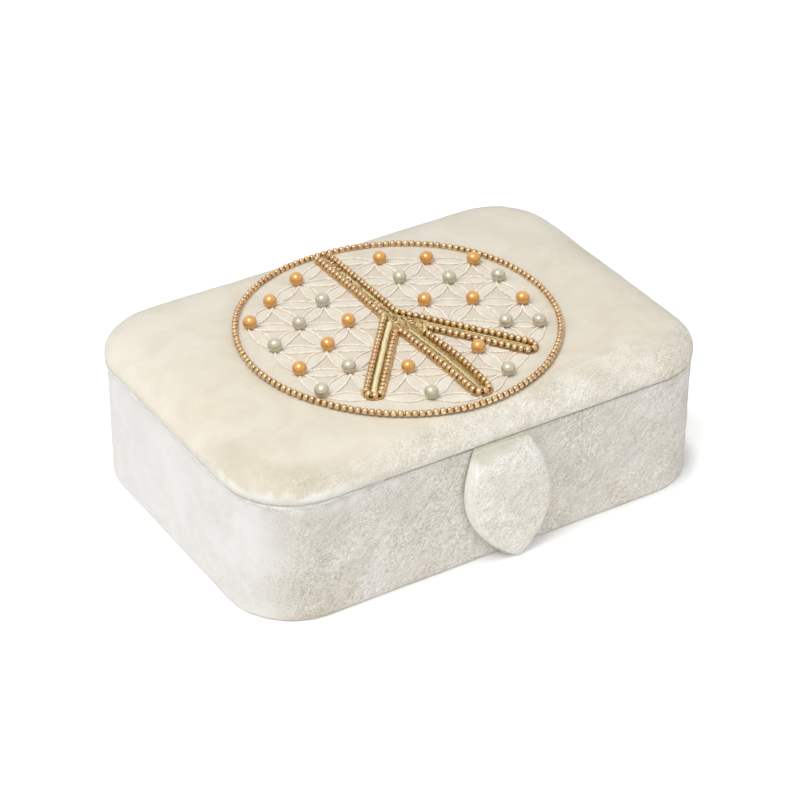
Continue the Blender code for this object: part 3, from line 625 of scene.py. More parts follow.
def aim_camera():
    turn, height = math.radians(CAMERA_TURN), math.radians(CAMERA_HEIGHT)
    back = Vector(
        (math.sin(turn) * math.cos(height), -math.cos(turn) * math.cos(height), math.sin(height))
    )
    right = Vector((math.cos(turn), math.sin(turn), 0.0))
    up = back.cross(right)
    c, s = polar(1.0, math.radians(CAMERA_ROLL))
    right, up = c * right + s * up, c * up - s * right
    data = bpy.data.cameras.new("camera")
    data.sensor_width = 36.0
    data.lens = LENS_MM
    data.clip_start, data.clip_end = 0.05, 20.0
    pose = Matrix((right, up, back)).transposed().to_4x4()
    pose.translation = (CAMERA_SIDE_MM * right + CAMERA_DOWN_MM * up + CAMERA_AWAY_MM * back) * MM
    SCENE.camera = new_object("camera", data)
    SCENE.camera.matrix_world = pose


def looked_at(tree, lit, seen):
    """Shows one shader to the camera, straight or in gloss, and lets the other light the box."""
    rays = put(tree, "ShaderNodeLightPath")
    share = maths(tree, "ADD", rays.outputs["Is Camera Ray"], rays.outputs["Is Glossy Ray"])
    share = maths(tree, "ADD", share, rays.outputs["Is Transmission Ray"])
    share = maths(tree, "MINIMUM", share, 1.0)
    ends = {0: share, 1: lit.outputs[0], 2: seen.outputs[0]}
    return put(tree, "ShaderNodeMixShader", ends).outputs[0]


def lay_floor():
    """A white paper floor: to the camera it is nearly plain white, and it keeps the shadow."""
    material, tree, shader = new_material(
        "paper floor", {"Roughness": 1.0, "Specular IOR Level": 0.0}
    )
    grain = noisy(tree, millimetres(tree), 140.0)
    tree.links.new(mixed(tree, grain, rgb(0.90, 0.90, 0.90), WHITE), shader.inputs["Base Color"])
    place = put(tree, "ShaderNodeTexCoord").outputs["Object"]
    # painted shade round the box: the floor's glow to the camera is weaker near the box's outline,
    # with the outline moved a little to the front and left, so the floor stays darker there
    place = vector_maths(tree, "ADD", place, (0.9 * MM, 1.3 * MM, 0))
    place = vector_maths(tree, "ABSOLUTE", place)
    core = (LENGTH / 2 - CORNER, WIDTH / 2 - CORNER, 0.0)
    place = vector_maths(tree, "MAXIMUM", vector_maths(tree, "SUBTRACT", place, core))
    away = put(tree, "ShaderNodeVectorMath", {0: place}, operation="LENGTH").outputs["Value"]
    far = spread(tree, away, CORNER, CORNER + 10 * MM, *FLOOR_GLOW)
    glow = put(tree, "ShaderNodeEmission", {"Color": WHITE, "Strength": far})
    both = put(tree, "ShaderNodeAddShader", {0: shader.outputs[0], 1: glow.outputs[0]})
    shown = looked_at(tree, shader, both)
    tree.links.new(shown, tree.nodes["Material Output"].inputs["Surface"])
    bm = bmesh.new()
    bmesh.ops.create_grid(bm, x_segments=8, y_segments=8, size=4.0)
    floor = keep_piece("floor", bm, material)
    floor.data.transform(Matrix.Translation((0, 0, -0.02 * MM)))


def light_world():
    world = bpy.data.worlds.new("studio")
    SCENE.world = world
    world.use_nodes = True
    tree = world.node_tree
    tree.nodes.clear()
    cool = {"Color": rgb(0.97, 0.985, 1.0), "Strength": ROOM_LIGHT}
    plain = put(tree, "ShaderNodeBackground", cool)
    white = put(tree, "ShaderNodeBackground", {"Color": WHITE, "Strength": 1.0})
    put(tree, "ShaderNodeOutputWorld", {"Surface": looked_at(tree, plain, white)})


def soft_box(name, place, size, watts, colour=(1.0, 1.0, 1.0), mirrored=True):
    """An area lamp aimed at the middle of the box. A fill is too even to be mirrored in beads."""
    data = bpy.data.lights.new(name, "AREA")
    data.shape = "RECTANGLE"
    data.size, data.size_y = size
    data.energy = watts
    data.color = colour
    lamp = new_object(name, data)
    lamp.location = place
    lamp.visible_glossy = mirrored
    aim = Vector((0, 0, 30 * MM)) - lamp.location
    lamp.rotation_euler = aim.to_track_quat("-Z", "Y").to_euler()


ROOM_LIGHT = 0.42
# The floor's own light, close to the box and away from it
FLOOR_GLOW = (0.08, 0.42)
SCENE.view_settings.view_transform = "Standard"
aim_camera()
lay_floor()
light_world()
soft_box("overhead", (-0.50, -0.20, 1.17), (0.75, 0.75), 9.5, (1.0, 0.99, 0.97))
soft_box("window", (-1.15, -0.25, 0.45), (0.9, 0.7), 2.2, mirrored=False)
soft_box("front fill", (0.5, -1.2, 0.5), (0.9, 0.6), 4.0, (0.98, 0.99, 1.0), mirrored=False)


# Covered wall


def fine_section(corners, step):
    """Points along a section's straight runs, no further apart than step."""
    points = []
    for a, b in zip(corners, corners[1:] + corners[:1]):
        run = math.dist(a, b)
        count = max(math.ceil(run / step), 1)
        points += [mix_places(a, b, k / count) for k in range(count)]
    return points


def quarter(centre, radius, start, steps=5):
    """Places on a quarter turn of a section, from start degrees, clockwise."""
    arms = [polar(radius, math.radians(start - 90 * k / steps)) for k in range(steps + 1)]
    return [(centre[0] + x, centre[1] + z) for x, z in arms]


def cover_wall():
    """One cloth from the hem under the box, up the wall and over the rim to its turned-in edge."""
    inner_round = 0.5 * MM
    inner = TRAY_IN - 1.0 * MM
    corners = [(HEM, VELVET), (HEM, 0.0)]
    corners += quarter((EDGE_ROUND, EDGE_ROUND), EDGE_ROUND, 270)
    corners += quarter((RIM_ROUND, RIM - RIM_ROUND), RIM_ROUND, 180)
    corners += quarter((TRAY_IN - inner_round, RIM - inner_round), inner_round, 90, 3)
    corners += [(TRAY_IN, RIM - TURN_IN), (inner, RIM - TURN_IN), (inner, RIM - VELVET)]
    corners += [(VELVET, RIM - VELVET), (VELVET, VELVET)]
    section = fine_section(corners, 1.25 * MM)
    bm = bmesh.new()
    join_rings(bm, [outline(i, z, step=1.15 * MM) for i, z in section], True)
    mend(bm)
    piece = keep_piece("wall_cover", bm, WALL_VELVET)
    mesh = piece.data
    co = points_of(mesh)
    inset = inset_of(co[:, 0], co[:, 1])
    outer = 1 - smooth_step(0.9 * MM, 1.1 * MM, inset)
    outer *= smooth_step(0.2 * MM, 3 * MM, co[:, 2])
    level = smooth_step(RIM - 0.4 * MM, RIM - 2 * MM, co[:, 2]) * 0.8 + 0.2
    roughened(mesh, ((16, 0.35, 3), (5, 0.16, 8), (2.2, 0.10, 5)), outer * level)
    co = points_of(mesh)
    co[:, 2] = np.maximum(co[:, 2], 0)
    set_points(mesh, co)
    paint(mesh, "nap_and_shade", wall_nap_and_shade(co))
    # painted shade where the wall turns from the left side to the front, away from the light
    turn = smooth_step(-99 * MM, -91 * MM, co[:, 0]) * smooth_step(-62 * MM, -78 * MM, co[:, 0])
    turn *= smooth_step(-40 * MM, -50 * MM, co[:, 1])
    paint(mesh, "painted_shade", 0.3 * turn)
    # painted light along the top of the wall round the front left, in broken tufts
    tuft = noise_at(co, 4 * MM)
    near = smooth_step(-30 * MM, -70 * MM, co[:, 0]) * smooth_step(0.0, -40 * MM, co[:, 1])
    depth = (RIM - co[:, 2]) / (4 * MM)
    paint(mesh, "painted_light", near * np.clip(0.35 + 0.9 * tuft, 0, 0.8) * np.exp(-(depth**2)))
    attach(piece, "base")
    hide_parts("wall_velvet")


def wall_nap_and_shade(co):
    """Lower on the left side, where the light falls, so the wall is painted lighter there as
    sheen; higher on the front and right, where the pile stands grainier and the wall is painted
    darker as shade; lower towards the back and in patches at random.
    """
    x, y = co[:, 0], co[:, 1]
    side = smooth_step(-LENGTH / 2 + 3 * MM, -LENGTH / 2 + 21 * MM, x)
    back = smooth_step(-WIDTH / 2 + 30 * MM, WIDTH / 2 - 20 * MM, y)
    patch = noise_at(co, 22 * MM, (4, 1, 2))
    fleck = noise_at(co, 6 * MM, (1, 7, 3))
    nap_and_shade = 0.12 + 0.82 * side - 0.25 * back + 0.35 * patch + 0.15 * fleck
    return np.clip(nap_and_shade, 0.0, 1.15)


cover_wall()


# Padded pieces


def swollen(piece, held, pressure, cap, stiffness=18.0):
    """Blows a closed padded form up with cloth simulation: held vertices stay where they are, and
    the others move no further than cap."""
    before = points_of(piece.data)
    group = piece.vertex_groups.new(name="held")
    for index, share in enumerate(held):
        if share > 0:
            group.add([index], float(share), "REPLACE")
    cloth = piece.modifiers.new("stuffing", "CLOTH")
    settings = cloth.settings
    settings.quality = 4
    settings.mass = 0.2
    settings.tension_stiffness = stiffness
    settings.compression_stiffness = stiffness
    settings.shear_stiffness = stiffness / 2
    settings.bending_stiffness = 0.4
    settings.air_damping = 4.0
    settings.use_pressure = True
    settings.uniform_pressure_force = pressure
    settings.vertex_group_mass = "held"
    settings.effector_weights.gravity = 0.0
    cloth.collision_settings.use_collision = False
    cloth.point_cache.frame_start, cloth.point_cache.frame_end = 1, 20
    for step in range(1, 21):
        SCENE.frame_set(step)
    blown = evaluated(piece)
    move = points_of(blown) - before
    bpy.data.meshes.remove(blown)
    piece.modifiers.remove(cloth)
    piece.vertex_groups.clear()
    SCENE.frame_set(1)
    reach = np.linalg.norm(move, axis=1)
    move *= np.minimum(1.0, cap / np.maximum(reach, 1e-9))[:, None]
    set_points(piece.data, before + move)


def subdivided(piece):
    """One finer skin over the piece's mesh, applied."""
    finer = piece.modifiers.new("finer", "SUBSURF")
    finer.levels = finer.render_levels = 1
    old, piece.data = piece.data, evaluated(piece)
    piece.modifiers.remove(finer)
    bpy.data.meshes.remove(old)
    piece.data.shade_smooth()


# Lid


# The lid cushion's section from its top to its underside: (inset, height over the underside)
LID_SECTION_MM = (
    (11.8, 10.25), (9.3, 10.0), (6.7, 9.4), (4.4, 8.55), (2.6, 7.5), (1.2, 6.3), (0.2, 5.2),
    (-0.5, 4.2), (-0.85, 3.2), (-0.85, 2.2), (-0.7, 1.3), (-0.5, 0.6), (-0.2, 0.15), (0.6, 0.0),
    (4.0, 0.0),
)


def dome_ring(scale, under, step):
    z = PLATEAU_Z - under + DOME_RISE * (1 - scale**2)
    return outline(SHOULDER_IN, z, scale, step)


def cover_lid():
    """Velvet and wadding of the lid in one: a closed cushion that is wrapped round the board."""
    step = 3.8 * MM
    board_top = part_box("lid_board")[1].z + 0.06 * MM
    board_in = inset_of(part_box("lid_board")[1].x, 0.0) - 0.1 * MM
    inner = [outline(i, LID_UNDER + VELVET, step=step) for i in (HEM, 5 * MM, board_in)]
    inner += [outline(board_in, board_top, step=step)]
    inner += [outline(SHOULDER_IN, board_top, 1 - k / 10, step) for k in range(10)]
    outer = [dome_ring(0.05 + 0.95 * k / 24, 0.35 * MM, step) for k in range(24)]
    outer += [outline(i * MM, LID_UNDER + up * MM, step=step) for i, up in LID_SECTION_MM]
    outer += [outline(HEM, LID_UNDER, step=step)]
    bm = bmesh.new()
    under = join_rings(bm, inner)
    over = join_rings(bm, outer)
    for i in range(len(under[0])):
        j = (i + 1) % len(under[0])
        bm.faces.new((over[-1][i], over[-1][j], under[0][j], under[0][i]))
    close_ring(bm, under[-1])
    close_ring(bm, over[0])
    mend(bm)
    piece = keep_piece("lid_cover", bm, LID_VELVET, 180)
    co = points_of(piece.data)
    inset = inset_of(co[:, 0], co[:, 1])
    across = np.hypot(co[:, 0], co[:, 1])
    inside = (co[:, 2] < board_top + 0.5 * MM) & (inset > board_in - 0.5 * MM)
    free = (co[:, 2] > LID_UNDER + 2.5 * MM) & ~inside
    held = np.where(free, 1 - smooth_step(RING_RADIUS, RING_RADIUS + 8 * MM, across), 1.0)
    swollen(piece, held, 4.0, 0.7 * MM)
    subdivided(piece)
    finish_lid(piece.data)
    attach(piece, "lid")
    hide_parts("lid_velvet", "lid_wadding")


def finish_lid(mesh):
    """The lid's uneven skin, its sunk place under the medallion and what its cloth shows."""
    co = points_of(mesh)
    inset = inset_of(co[:, 0], co[:, 1])
    across = np.hypot(co[:, 0], co[:, 1])
    top = normals_of(mesh)[:, 2] > 0.05
    top &= co[:, 2] > LID_UNDER + 2 * MM
    skin = top | (inset < 1.0 * MM) & (co[:, 2] > LID_UNDER + 0.9 * MM)
    side = skin * smooth_step(LID_UNDER + 0.8 * MM, LID_UNDER + 4 * MM, co[:, 2])
    side *= smooth_step(RING_RADIUS - 1 * MM, RING_RADIUS + 4 * MM, across)
    roughened(mesh, ((22, 0.30, 2), (8, 0.14, 6), (3, 0.08, 9)), side)
    co = points_of(mesh)
    reach = np.array([ring_radius(angle) for angle in np.arctan2(co[:, 1], co[:, 0])])
    sunk = top * (1 - smooth_step(-0.5 * MM, 0.6 * MM, across - reach))
    level = lid_top(co[:, 0], co[:, 1]) - 1.0 * MM
    co[:, 2] = np.where(sunk > 0, co[:, 2] + (level - co[:, 2]) * sunk, co[:, 2])
    reach = WIDTH / 2 + 0.45 * MM + 0.17 * np.maximum(co[:, 2] - LID_UNDER, 0)
    co[:, 1] = np.minimum(co[:, 1], reach)
    set_points(mesh, co)
    paint(mesh, "nap_and_shade", lid_nap_and_shade(co, inset))
    # the front left corner: painted light along its lower edge and painted shade on the shoulder
    # above it
    corner = smooth_step(-20 * MM, -45 * MM, co[:, 1]) * smooth_step(-52 * MM, -80 * MM, co[:, 0])
    tuft = noise_at(co, 3.5 * MM)
    low = 1 - smooth_step(2.2 * MM, 6 * MM, co[:, 2] - LID_UNDER - 2.5 * MM * tuft)
    lit_band = corner * low * smooth_step(2 * MM, 0, inset) * np.clip(0.8 + 0.7 * tuft, 0.2, 1)
    paint(mesh, "painted_shade", 0.5 * corner * (1 - low) * smooth_step(14 * MM, 7 * MM, inset))
    # painted light, a little on the left side near the edge and more towards the back
    pale = smooth_step(-75 * MM, -95 * MM, co[:, 0]) * smooth_step(7 * MM, 0, inset)
    far = smooth_step(0.0, 60 * MM, co[:, 1])
    paint(mesh, "painted_light", np.maximum(0.9 * lit_band, 0.12 * pale + 0.22 * far))


def lid_nap_and_shade(co, inset):
    """Low on top; higher on the rounded shoulder, less on the left side, where the light falls,
    and in a ragged band along the front edge, where the pile stands and the cloth is painted a
    little darker as shade; in patches at random.
    """
    x, y = co[:, 0], co[:, 1]
    edge = 1 - smooth_step(2 * MM, 10 * MM, inset)
    edge *= 0.15 + 0.85 * smooth_step(-LENGTH / 2 + 3 * MM, -LENGTH / 2 + 20 * MM, x)
    patch = noise_at(co, 20 * MM, (2, 9, 4))
    ragged = noise_at(co, 6 * MM, (8, 1, 6))
    wide = 6 * smooth_step(-10 * MM, 50 * MM, x)
    band = -WIDTH / 2 + (7 + wide + 3 * patch + 3 * ragged) * MM
    front = (1 - smooth_step(band, band + 4 * MM, y)) * smooth_step(-70 * MM, -20 * MM, x)
    return np.clip(0.04 + 0.6 * edge + 0.55 * front + 0.1 * patch, 0.0, 1.0)


def face_lid():
    """Cloth glued to the underside of the lid, its edge tucked in."""
    top = LID_UNDER + VELVET - 0.2 * MM
    edge = HEM + 0.15 * MM
    step = 3 * MM
    rim = ((0.0, top), (0.1 * MM, LID_UNDER + 0.35 * MM), (0.7 * MM, LID_UNDER + 0.05 * MM))
    rings = [outline(edge + i, z, step=step) for i, z in rim]
    rings += [outline(edge + 3 * MM, LID_UNDER, 1 - k / 22, step) for k in range(22)]
    bm = bmesh.new()
    low = join_rings(bm, rings)
    high = join_rings(bm, [outline(edge, top, 1 - k / 6, step) for k in range(6)])
    close_ring(bm, low[-1])
    close_ring(bm, high[-1])
    mend(bm)
    piece = keep_piece("lid_facing", bm, SATIN)
    co = points_of(piece.data)
    lower = co[:, 2] < LID_UNDER + 0.3 * MM
    calm = lower * smooth_step(edge, edge + 4 * MM, inset_of(co[:, 0], co[:, 1]))
    ripple = noise_at(co * (1, 1, 0), np.array((50, 12, 1)) * MM, (0, 0, 3))
    co[:, 2] += calm * (0.14 + 0.12 * ripple) * MM
    set_points(piece.data, co)
    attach(piece, "lid")
    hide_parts("lid_lining")


cover_lid()
face_lid()


# Medallion cloth


def medallion_level(x, y):
    """Height of the medallion cloth where it lies flat on the lid."""
    return lid_top(x, y) - 0.25 * MM


def on_cloth(x, y, lift):
    return x, y, float(medallion_level(x, y)) + lift


def lattice_nodes():
    """Places of the drawing's lattice, each moved to its pearl where one is sewn on."""
    step = LATTICE_MM * math.sqrt(3) / 2
    nodes = {}
    for column in range(-LATTICE_REACH, LATTICE_REACH + 1):
        rows = 2 * LATTICE_REACH - abs(column)
        for row in range(rows + 1):
            nodes[column, 2 * row - rows] = (column * step, (2 * row - rows) * LATTICE_MM / 2)
    for x, y, _ in PEARLS_MM:
        key = min(nodes, key=lambda k: math.dist(nodes[k], (x, y)))
        if math.dist(nodes[key], (x, y)) < LATTICE_MM / 3:
            nodes[key] = mix_places((x, y), nodes[key], 0.5)
    return nodes


def petal_arcs():
    """Every petal of the lattice as its two arcs: (tip, tip, centre, centre), in metres."""
    nodes = lattice_nodes()
    petals = []
    for (column, row), place in nodes.items():
        for across, down in ((0, 2), (1, 1), (1, -1)):
            other = nodes.get((column + across, row + down))
            if other is None:
                continue
            a, b = Vector(place) * MM, Vector(other) * MM
            rise = Vector((a.y - b.y, b.x - a.x)) * math.sqrt(3) / 2
            middle = (a + b) / 2
            petals.append((a, b, middle + rise, middle - rise))
    return petals


PETALS = petal_arcs()


def hand_drawn(x, y):
    """How far the drawing strays from its lattice at a place, in metres."""
    place = Vector((x, y, 0.0)) / 0.0075
    return 0.8 * MM * noise.noise(place), 0.8 * MM * noise.noise(place + Vector((7, 3, 5)))


def petal_field(x, y):
    """For places on the cloth: the distance to the nearest petal line, and whether a petal is
    there."""
    stray = np.array([hand_drawn(a, b) for a, b in zip(x, y)])
    x, y = x + stray[:, 0], y + stray[:, 1]
    nearest = np.full(len(x), 1.0)
    inside = np.zeros(len(x), bool)
    for a, b, first, second in PETALS:
        reach = (b - a).length
        near_first = np.hypot(x - first.x, y - first.y)
        near_second = np.hypot(x - second.x, y - second.y)
        within = (near_first < reach) & (near_second < reach)
        inside |= within
        along = (b - a) / reach
        share = (x - a.x) * along.x + (y - a.y) * along.y
        between = (share > 0) & (share < reach)
        for gap in (near_first, near_second):
            off = np.where(between & (gap > reach * 0.7), np.abs(gap - reach), 1.0)
            side = np.abs((x - a.x) * -along.y + (y - a.y) * along.x)
            off = np.where(side < reach * 0.2, off, 1.0)
            nearest = np.minimum(nearest, off)
    return nearest, inside


def quilt_medallion():
    """The embroidered cloth: petals stand up a little between their lines, the rest less."""
    count = 224
    radius = RING_RADIUS - 0.3 * MM
    share = np.linspace(-1, 1, count)
    u, v = np.meshgrid(share, share)
    x = (u * np.sqrt(1 - v**2 / 2)).ravel()
    y = (v * np.sqrt(1 - u**2 / 2)).ravel()
    bulge = np.array([ring_radius(angle) - RING_RADIUS for angle in np.arctan2(y, x)])
    grow = radius + bulge * smooth_step(0.8, 1.0, np.hypot(x, y))
    x, y = x * grow, y * grow
    gap, inside = petal_field(x, y)
    hexagon = np.abs(x)
    for angle in (60, 120):
        c, s = math.cos(math.radians(angle)), math.sin(math.radians(angle))
        hexagon = np.maximum(hexagon, np.abs(c * x + s * y))
    ground = ~inside & (hexagon < LATTICE_REACH * LATTICE_MM * MM * math.sqrt(3) / 2)
    puff = 1 - np.exp(-((gap / (0.9 * MM)) ** 2))
    height = np.where(inside, 0.36, np.where(ground, 0.28, 0.34)) * MM * (0.45 + 0.55 * puff)
    fleck = noise_at(np.column_stack((x, y, np.zeros(len(x)))), 1.4 * MM)
    height += np.where(ground, 0.10, 0.03) * MM * fleck * puff
    z = medallion_level(x, y) + height
    faces = []
    for row in range(count - 1):
        for column in range(count - 1):
            i = row * count + column
            faces.append((i, i + 1, i + count + 1, i + count))
    rim = list(range(count)) + [k * count + count - 1 for k in range(1, count)]
    rim += [count * count - k for k in range(2, count + 1)]
    rim += [k * count for k in range(count - 2, 0, -1)]
    points = list(zip(x, y, z))
    below = rim
    for shrink in (0.995, 0.7, 0.35):
        ring = []
        for i in rim:
            ring.append(len(points))
            points.append(on_cloth(x[i] * shrink, y[i] * shrink, -0.65 * MM))
        for k in range(len(rim)):
            j = (k + 1) % len(rim)
            faces.append((below[j], below[k], ring[k], ring[j]))
        below = ring
    faces.append(below[::-1])
    mesh = bpy.data.meshes.new("medallion_ground")
    mesh.from_pydata(points, [], faces)
    piece = keep_mesh("medallion_ground", mesh, MEDALLION_CLOTH, 180)
    extra = len(points) - len(x)
    paint(mesh, "petal", np.concatenate((inside * 1.0, np.zeros(extra))))
    paint(mesh, "ground", np.concatenate((ground * 1.0, np.zeros(extra))))
    paint(mesh, "line_gap", np.concatenate((np.minimum(gap / MM, 5.0), np.full(extra, 5.0))))
    radius += RING_BULGE / 6
    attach(piece, "lid")
    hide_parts("medallion_cloth")


def medallion_finish():
    """Ivory petals, pinkish stitched ground between them, and a shaded line beside each thread."""
    sheen = {"Sheen Weight": 0.25, "Sheen Roughness": 0.4}
    material, tree, shader = new_material(
        "embroidered ivory cloth", {"Roughness": 0.8, "Specular IOR Level": 0.3, **sheen}
    )
    place = millimetres(tree)
    petal, ground, gap = (attribute(tree, name) for name in ("petal", "ground", "line_gap"))
    soft = noisy(tree, place, 5.0, 3.0, 0.6, 0.5)
    grain = noisy(tree, place, 0.7, 3.0, 0.75)
    share = spread(tree, soft, 0.35, 0.65)
    ivory = mixed(tree, share, rgb(0.79, 0.725, 0.60), rgb(0.86, 0.805, 0.70))
    share = spread(tree, grain, 0.35, 0.7)
    rose = mixed(tree, share, rgb(0.75, 0.665, 0.54), rgb(0.85, 0.775, 0.665))
    share = spread(tree, soft, 0.3, 0.7)
    plain = mixed(tree, share, rgb(0.77, 0.705, 0.58), rgb(0.83, 0.77, 0.655))
    base = mixed(tree, ground, plain, rose)
    base = mixed(tree, petal, base, ivory)
    line = spread(tree, gap, 0.35, 0.85, 0.42, 0.0)
    broken = spread(tree, noisy(tree, place, 3.5), 0.38, 0.6, 0.15, 1.0)
    line = maths(tree, "MULTIPLY", line, broken)
    base = mixed(tree, line, base, rgb(0.62, 0.48, 0.38))
    tree.links.new(base, shader.inputs["Base Color"])
    rough = maths(tree, "MULTIPLY_ADD", ground, 0.9, 0.35)
    relief = maths(tree, "MULTIPLY", grain, rough)
    bumped(tree, shader, relief, 0.7, 0.25)
    return material


MEDALLION_CLOTH = medallion_finish()
quilt_medallion()


# Beads, pearls and threads


def lathe(name, profile, sides):
    """A closed turned mesh round Z from (radius, z) places that end on the axis or meet again."""
    bm = bmesh.new()
    rings = []
    for radius, z in profile:
        rings.append([(*polar(radius, 2 * math.pi * k / sides), z) for k in range(sides)])
    join_rings(bm, rings, profile[0][0] > 0)
    mend(bm, 1e-7)
    mesh = mesh_of(name, bm)
    mesh.shade_smooth()
    return new_object(name, mesh)


def node_tree(name, inputs):
    """A geometry node tree with a geometry in and out and the named inputs."""
    tree = bpy.data.node_groups.new(name, "GeometryNodeTree")
    for label, kind in {"Geometry": "Geometry", **inputs, "Material": "Material"}.items():
        tree.interface.new_socket(name=label, in_out="INPUT", socket_type="NodeSocket" + kind)
    tree.interface.new_socket(name="Geometry", in_out="OUTPUT", socket_type="NodeSocketGeometry")
    return tree, tree.nodes.new("NodeGroupInput"), tree.nodes.new("NodeGroupOutput")


def turned_by(tree, x, y, z):
    euler = put(tree, "ShaderNodeCombineXYZ", {0: x, 1: y, 2: z}).outputs[0]
    return put(tree, "FunctionNodeEulerToRotation", {0: euler}).outputs[0]


def end_tree(tree, given, result, points, turn, size, tint_seed=None):
    """Ends a tree: its unit stands at every point, with a tint by chance and the material."""
    unit = put(tree, "GeometryNodeObjectInfo", {"Object": given.outputs["Unit"]})
    unit = unit.outputs["Geometry"]
    inputs = {"Points": points, "Instance": unit, "Rotation": turn, "Scale": size}
    shape = put(tree, "GeometryNodeInstanceOnPoints", inputs).outputs[0]
    if tint_seed is not None:
        inputs = {"Geometry": shape, "Name": "tint", "Value": chance(tree, 0.0, 1.0, tint_seed)}
        kind = "GeometryNodeStoreNamedAttribute"
        shape = put(tree, kind, inputs, data_type="FLOAT", domain="INSTANCE").outputs[0]
    real = put(tree, "GeometryNodeRealizeInstances", {0: shape}).outputs[0]
    inputs = {"Geometry": real, "Material": given.outputs["Material"]}
    painted = put(tree, "GeometryNodeSetMaterial", inputs)
    tree.links.new(painted.outputs[0], result.inputs["Geometry"])


def chance(tree, low, high, seed, kind="FLOAT"):
    """A random number, or a random vector, for every place."""
    first = 0 if kind == "FLOAT_VECTOR" else 2
    values = {first: low, first + 1: high, "Seed": seed}
    node = put(tree, "FunctionNodeRandomValue", values, data_type=kind)
    return node.outputs[first // 2]


def make_row_tree(name, by_count, seed):
    """Beads or stitches along every line of the given mesh, lying with the line."""
    inputs = {"Unit": "Object", "Pitch": "Float", "Count": "Int"}
    inputs.update({"Lean": "Float", "Spin": "Float", "Unevenness": "Float"})
    tree, given, result = node_tree(name, inputs)
    uneven = given.outputs["Unevenness"]
    curve = put(tree, "GeometryNodeMeshToCurve", {"Mesh": given.outputs["Geometry"]})
    even = put(tree, "GeometryNodeResampleCurve", {"Curve": curve.outputs[0]})
    even.mode = "COUNT" if by_count else "LENGTH"
    wanted = "Count" if by_count else "Length"
    tree.links.new(given.outputs["Count" if by_count else "Pitch"], even.inputs[wanted])
    tangent = put(tree, "GeometryNodeInputTangent").outputs[0]
    kind = "FunctionNodeAlignRotationToVector"
    lying = put(tree, kind, {"Vector": tangent}, axis="Z").outputs[0]
    inputs = {"Rotation": lying, "Vector": (0.0, 0.0, 1.0)}
    upright = put(tree, kind, inputs, axis="X", pivot_axis="Z").outputs[0]
    spin = maths(tree, "MULTIPLY", chance(tree, -1.0, 1.0, seed), given.outputs["Spin"])
    wobble = maths(tree, "MULTIPLY", chance(tree, -1.0, 1.0, seed + 1), uneven)
    lean = maths(tree, "ADD", given.outputs["Lean"], wobble)
    inputs = {"Rotation": upright, "Rotate By": turned_by(tree, lean, wobble, spin)}
    leaned = put(tree, "FunctionNodeRotateRotation", inputs, rotation_space="LOCAL").outputs[0]
    less = maths(tree, "MULTIPLY_ADD", uneven, -0.55, 1.0)
    low = put(tree, "ShaderNodeCombineXYZ", {0: less, 1: less, 2: less}).outputs[0]
    size = chance(tree, low, (1.0, 1.0, 1.0), seed + 2, "FLOAT_VECTOR")
    end_tree(tree, given, result, even.outputs[0], leaned, size, seed + 3)
    return tree


def grown(name, mesh, tree, values):
    """Runs a geometry node tree over a mesh and keeps the result as a plain mesh object."""
    source = new_object(name + "_path", mesh)
    modifier = source.modifiers.new("grow", "NODES")
    modifier.node_group = tree
    for item in tree.interface.items_tree:
        if item.item_type == "SOCKET" and item.in_out == "INPUT" and item.name in values:
            modifier[item.identifier] = values[item.name]
    bpy.context.view_layer.update()
    made = evaluated(source, True)
    made.name = name
    source.modifiers.remove(modifier)
    bpy.data.objects.remove(source)
    return new_object(name, made)


def path_mesh(name, lines, closed=False):
    """Edges through each list of places."""
    points, edges = [], []
    for line in lines:
        first = len(points)
        points += [tuple(p) for p in line]
        edges += [(first + k, first + k + 1) for k in range(len(line) - 1)]
        if closed:
            edges.append((first + len(line) - 1, first))
    mesh = bpy.data.meshes.new(name)
    mesh.from_pydata(points, edges, [])
    return mesh


def rounded_line(corners, step):
    """A line through the corners with each one rounded, as places about a step apart."""
    places = []
    for i, (corner, radius) in enumerate(corners):
        if radius == 0:
            places.append(corner)
            continue
        back = (corners[i - 1][0] - corner).normalized()
        on = (corners[i + 1][0] - corner).normalized()
        half_angle = back.angle(on) / 2
        tangent = radius / math.tan(half_angle)
        centre = corner + (back + on).normalized() * radius / math.sin(half_angle)
        first = corner + back * tangent - centre
        turn = first.angle_signed(corner + on * tangent - centre)
        steps = max(int(abs(turn) * radius / step), 2)
        places += [centre + rotated(first, -turn * k / steps) for k in range(steps + 1)]
    return places


def sideways(line, i):
    """The level direction to the right of a line at one of its places."""
    along = (line[min(i + 1, len(line) - 1)] - line[max(i - 1, 0)]).normalized()
    return Vector((along.y, -along.x))


def sign_line(off=0.0):
    """The line of the sign's beads, or a line beside it: positive off lies outside."""
    corners = [(Vector((x, y)) * MM, r * MM) for x, y, r in SIGN_CORNERS_MM]
    line = rounded_line(corners, 0.5 * MM)
    even = [line[0]]
    for a, b in zip(line, line[1:]):
        parts = max(int((b - a).length / (1.2 * MM)), 1)
        even += [a.lerp(b, k / parts) for k in range(1, parts + 1)]
    return [place + sideways(even, i) * off for i, place in enumerate(even)] if off else even


def on_lid(line, lift):
    return [Vector((p[0], p[1], float(lid_top(p[0], p[1])) + lift)) for p in line]


def path_length(line, closed=False):
    ends = zip(line, line[1:] + line[:1]) if closed else zip(line, line[1:])
    return sum((b - a).length for a, b in ends)


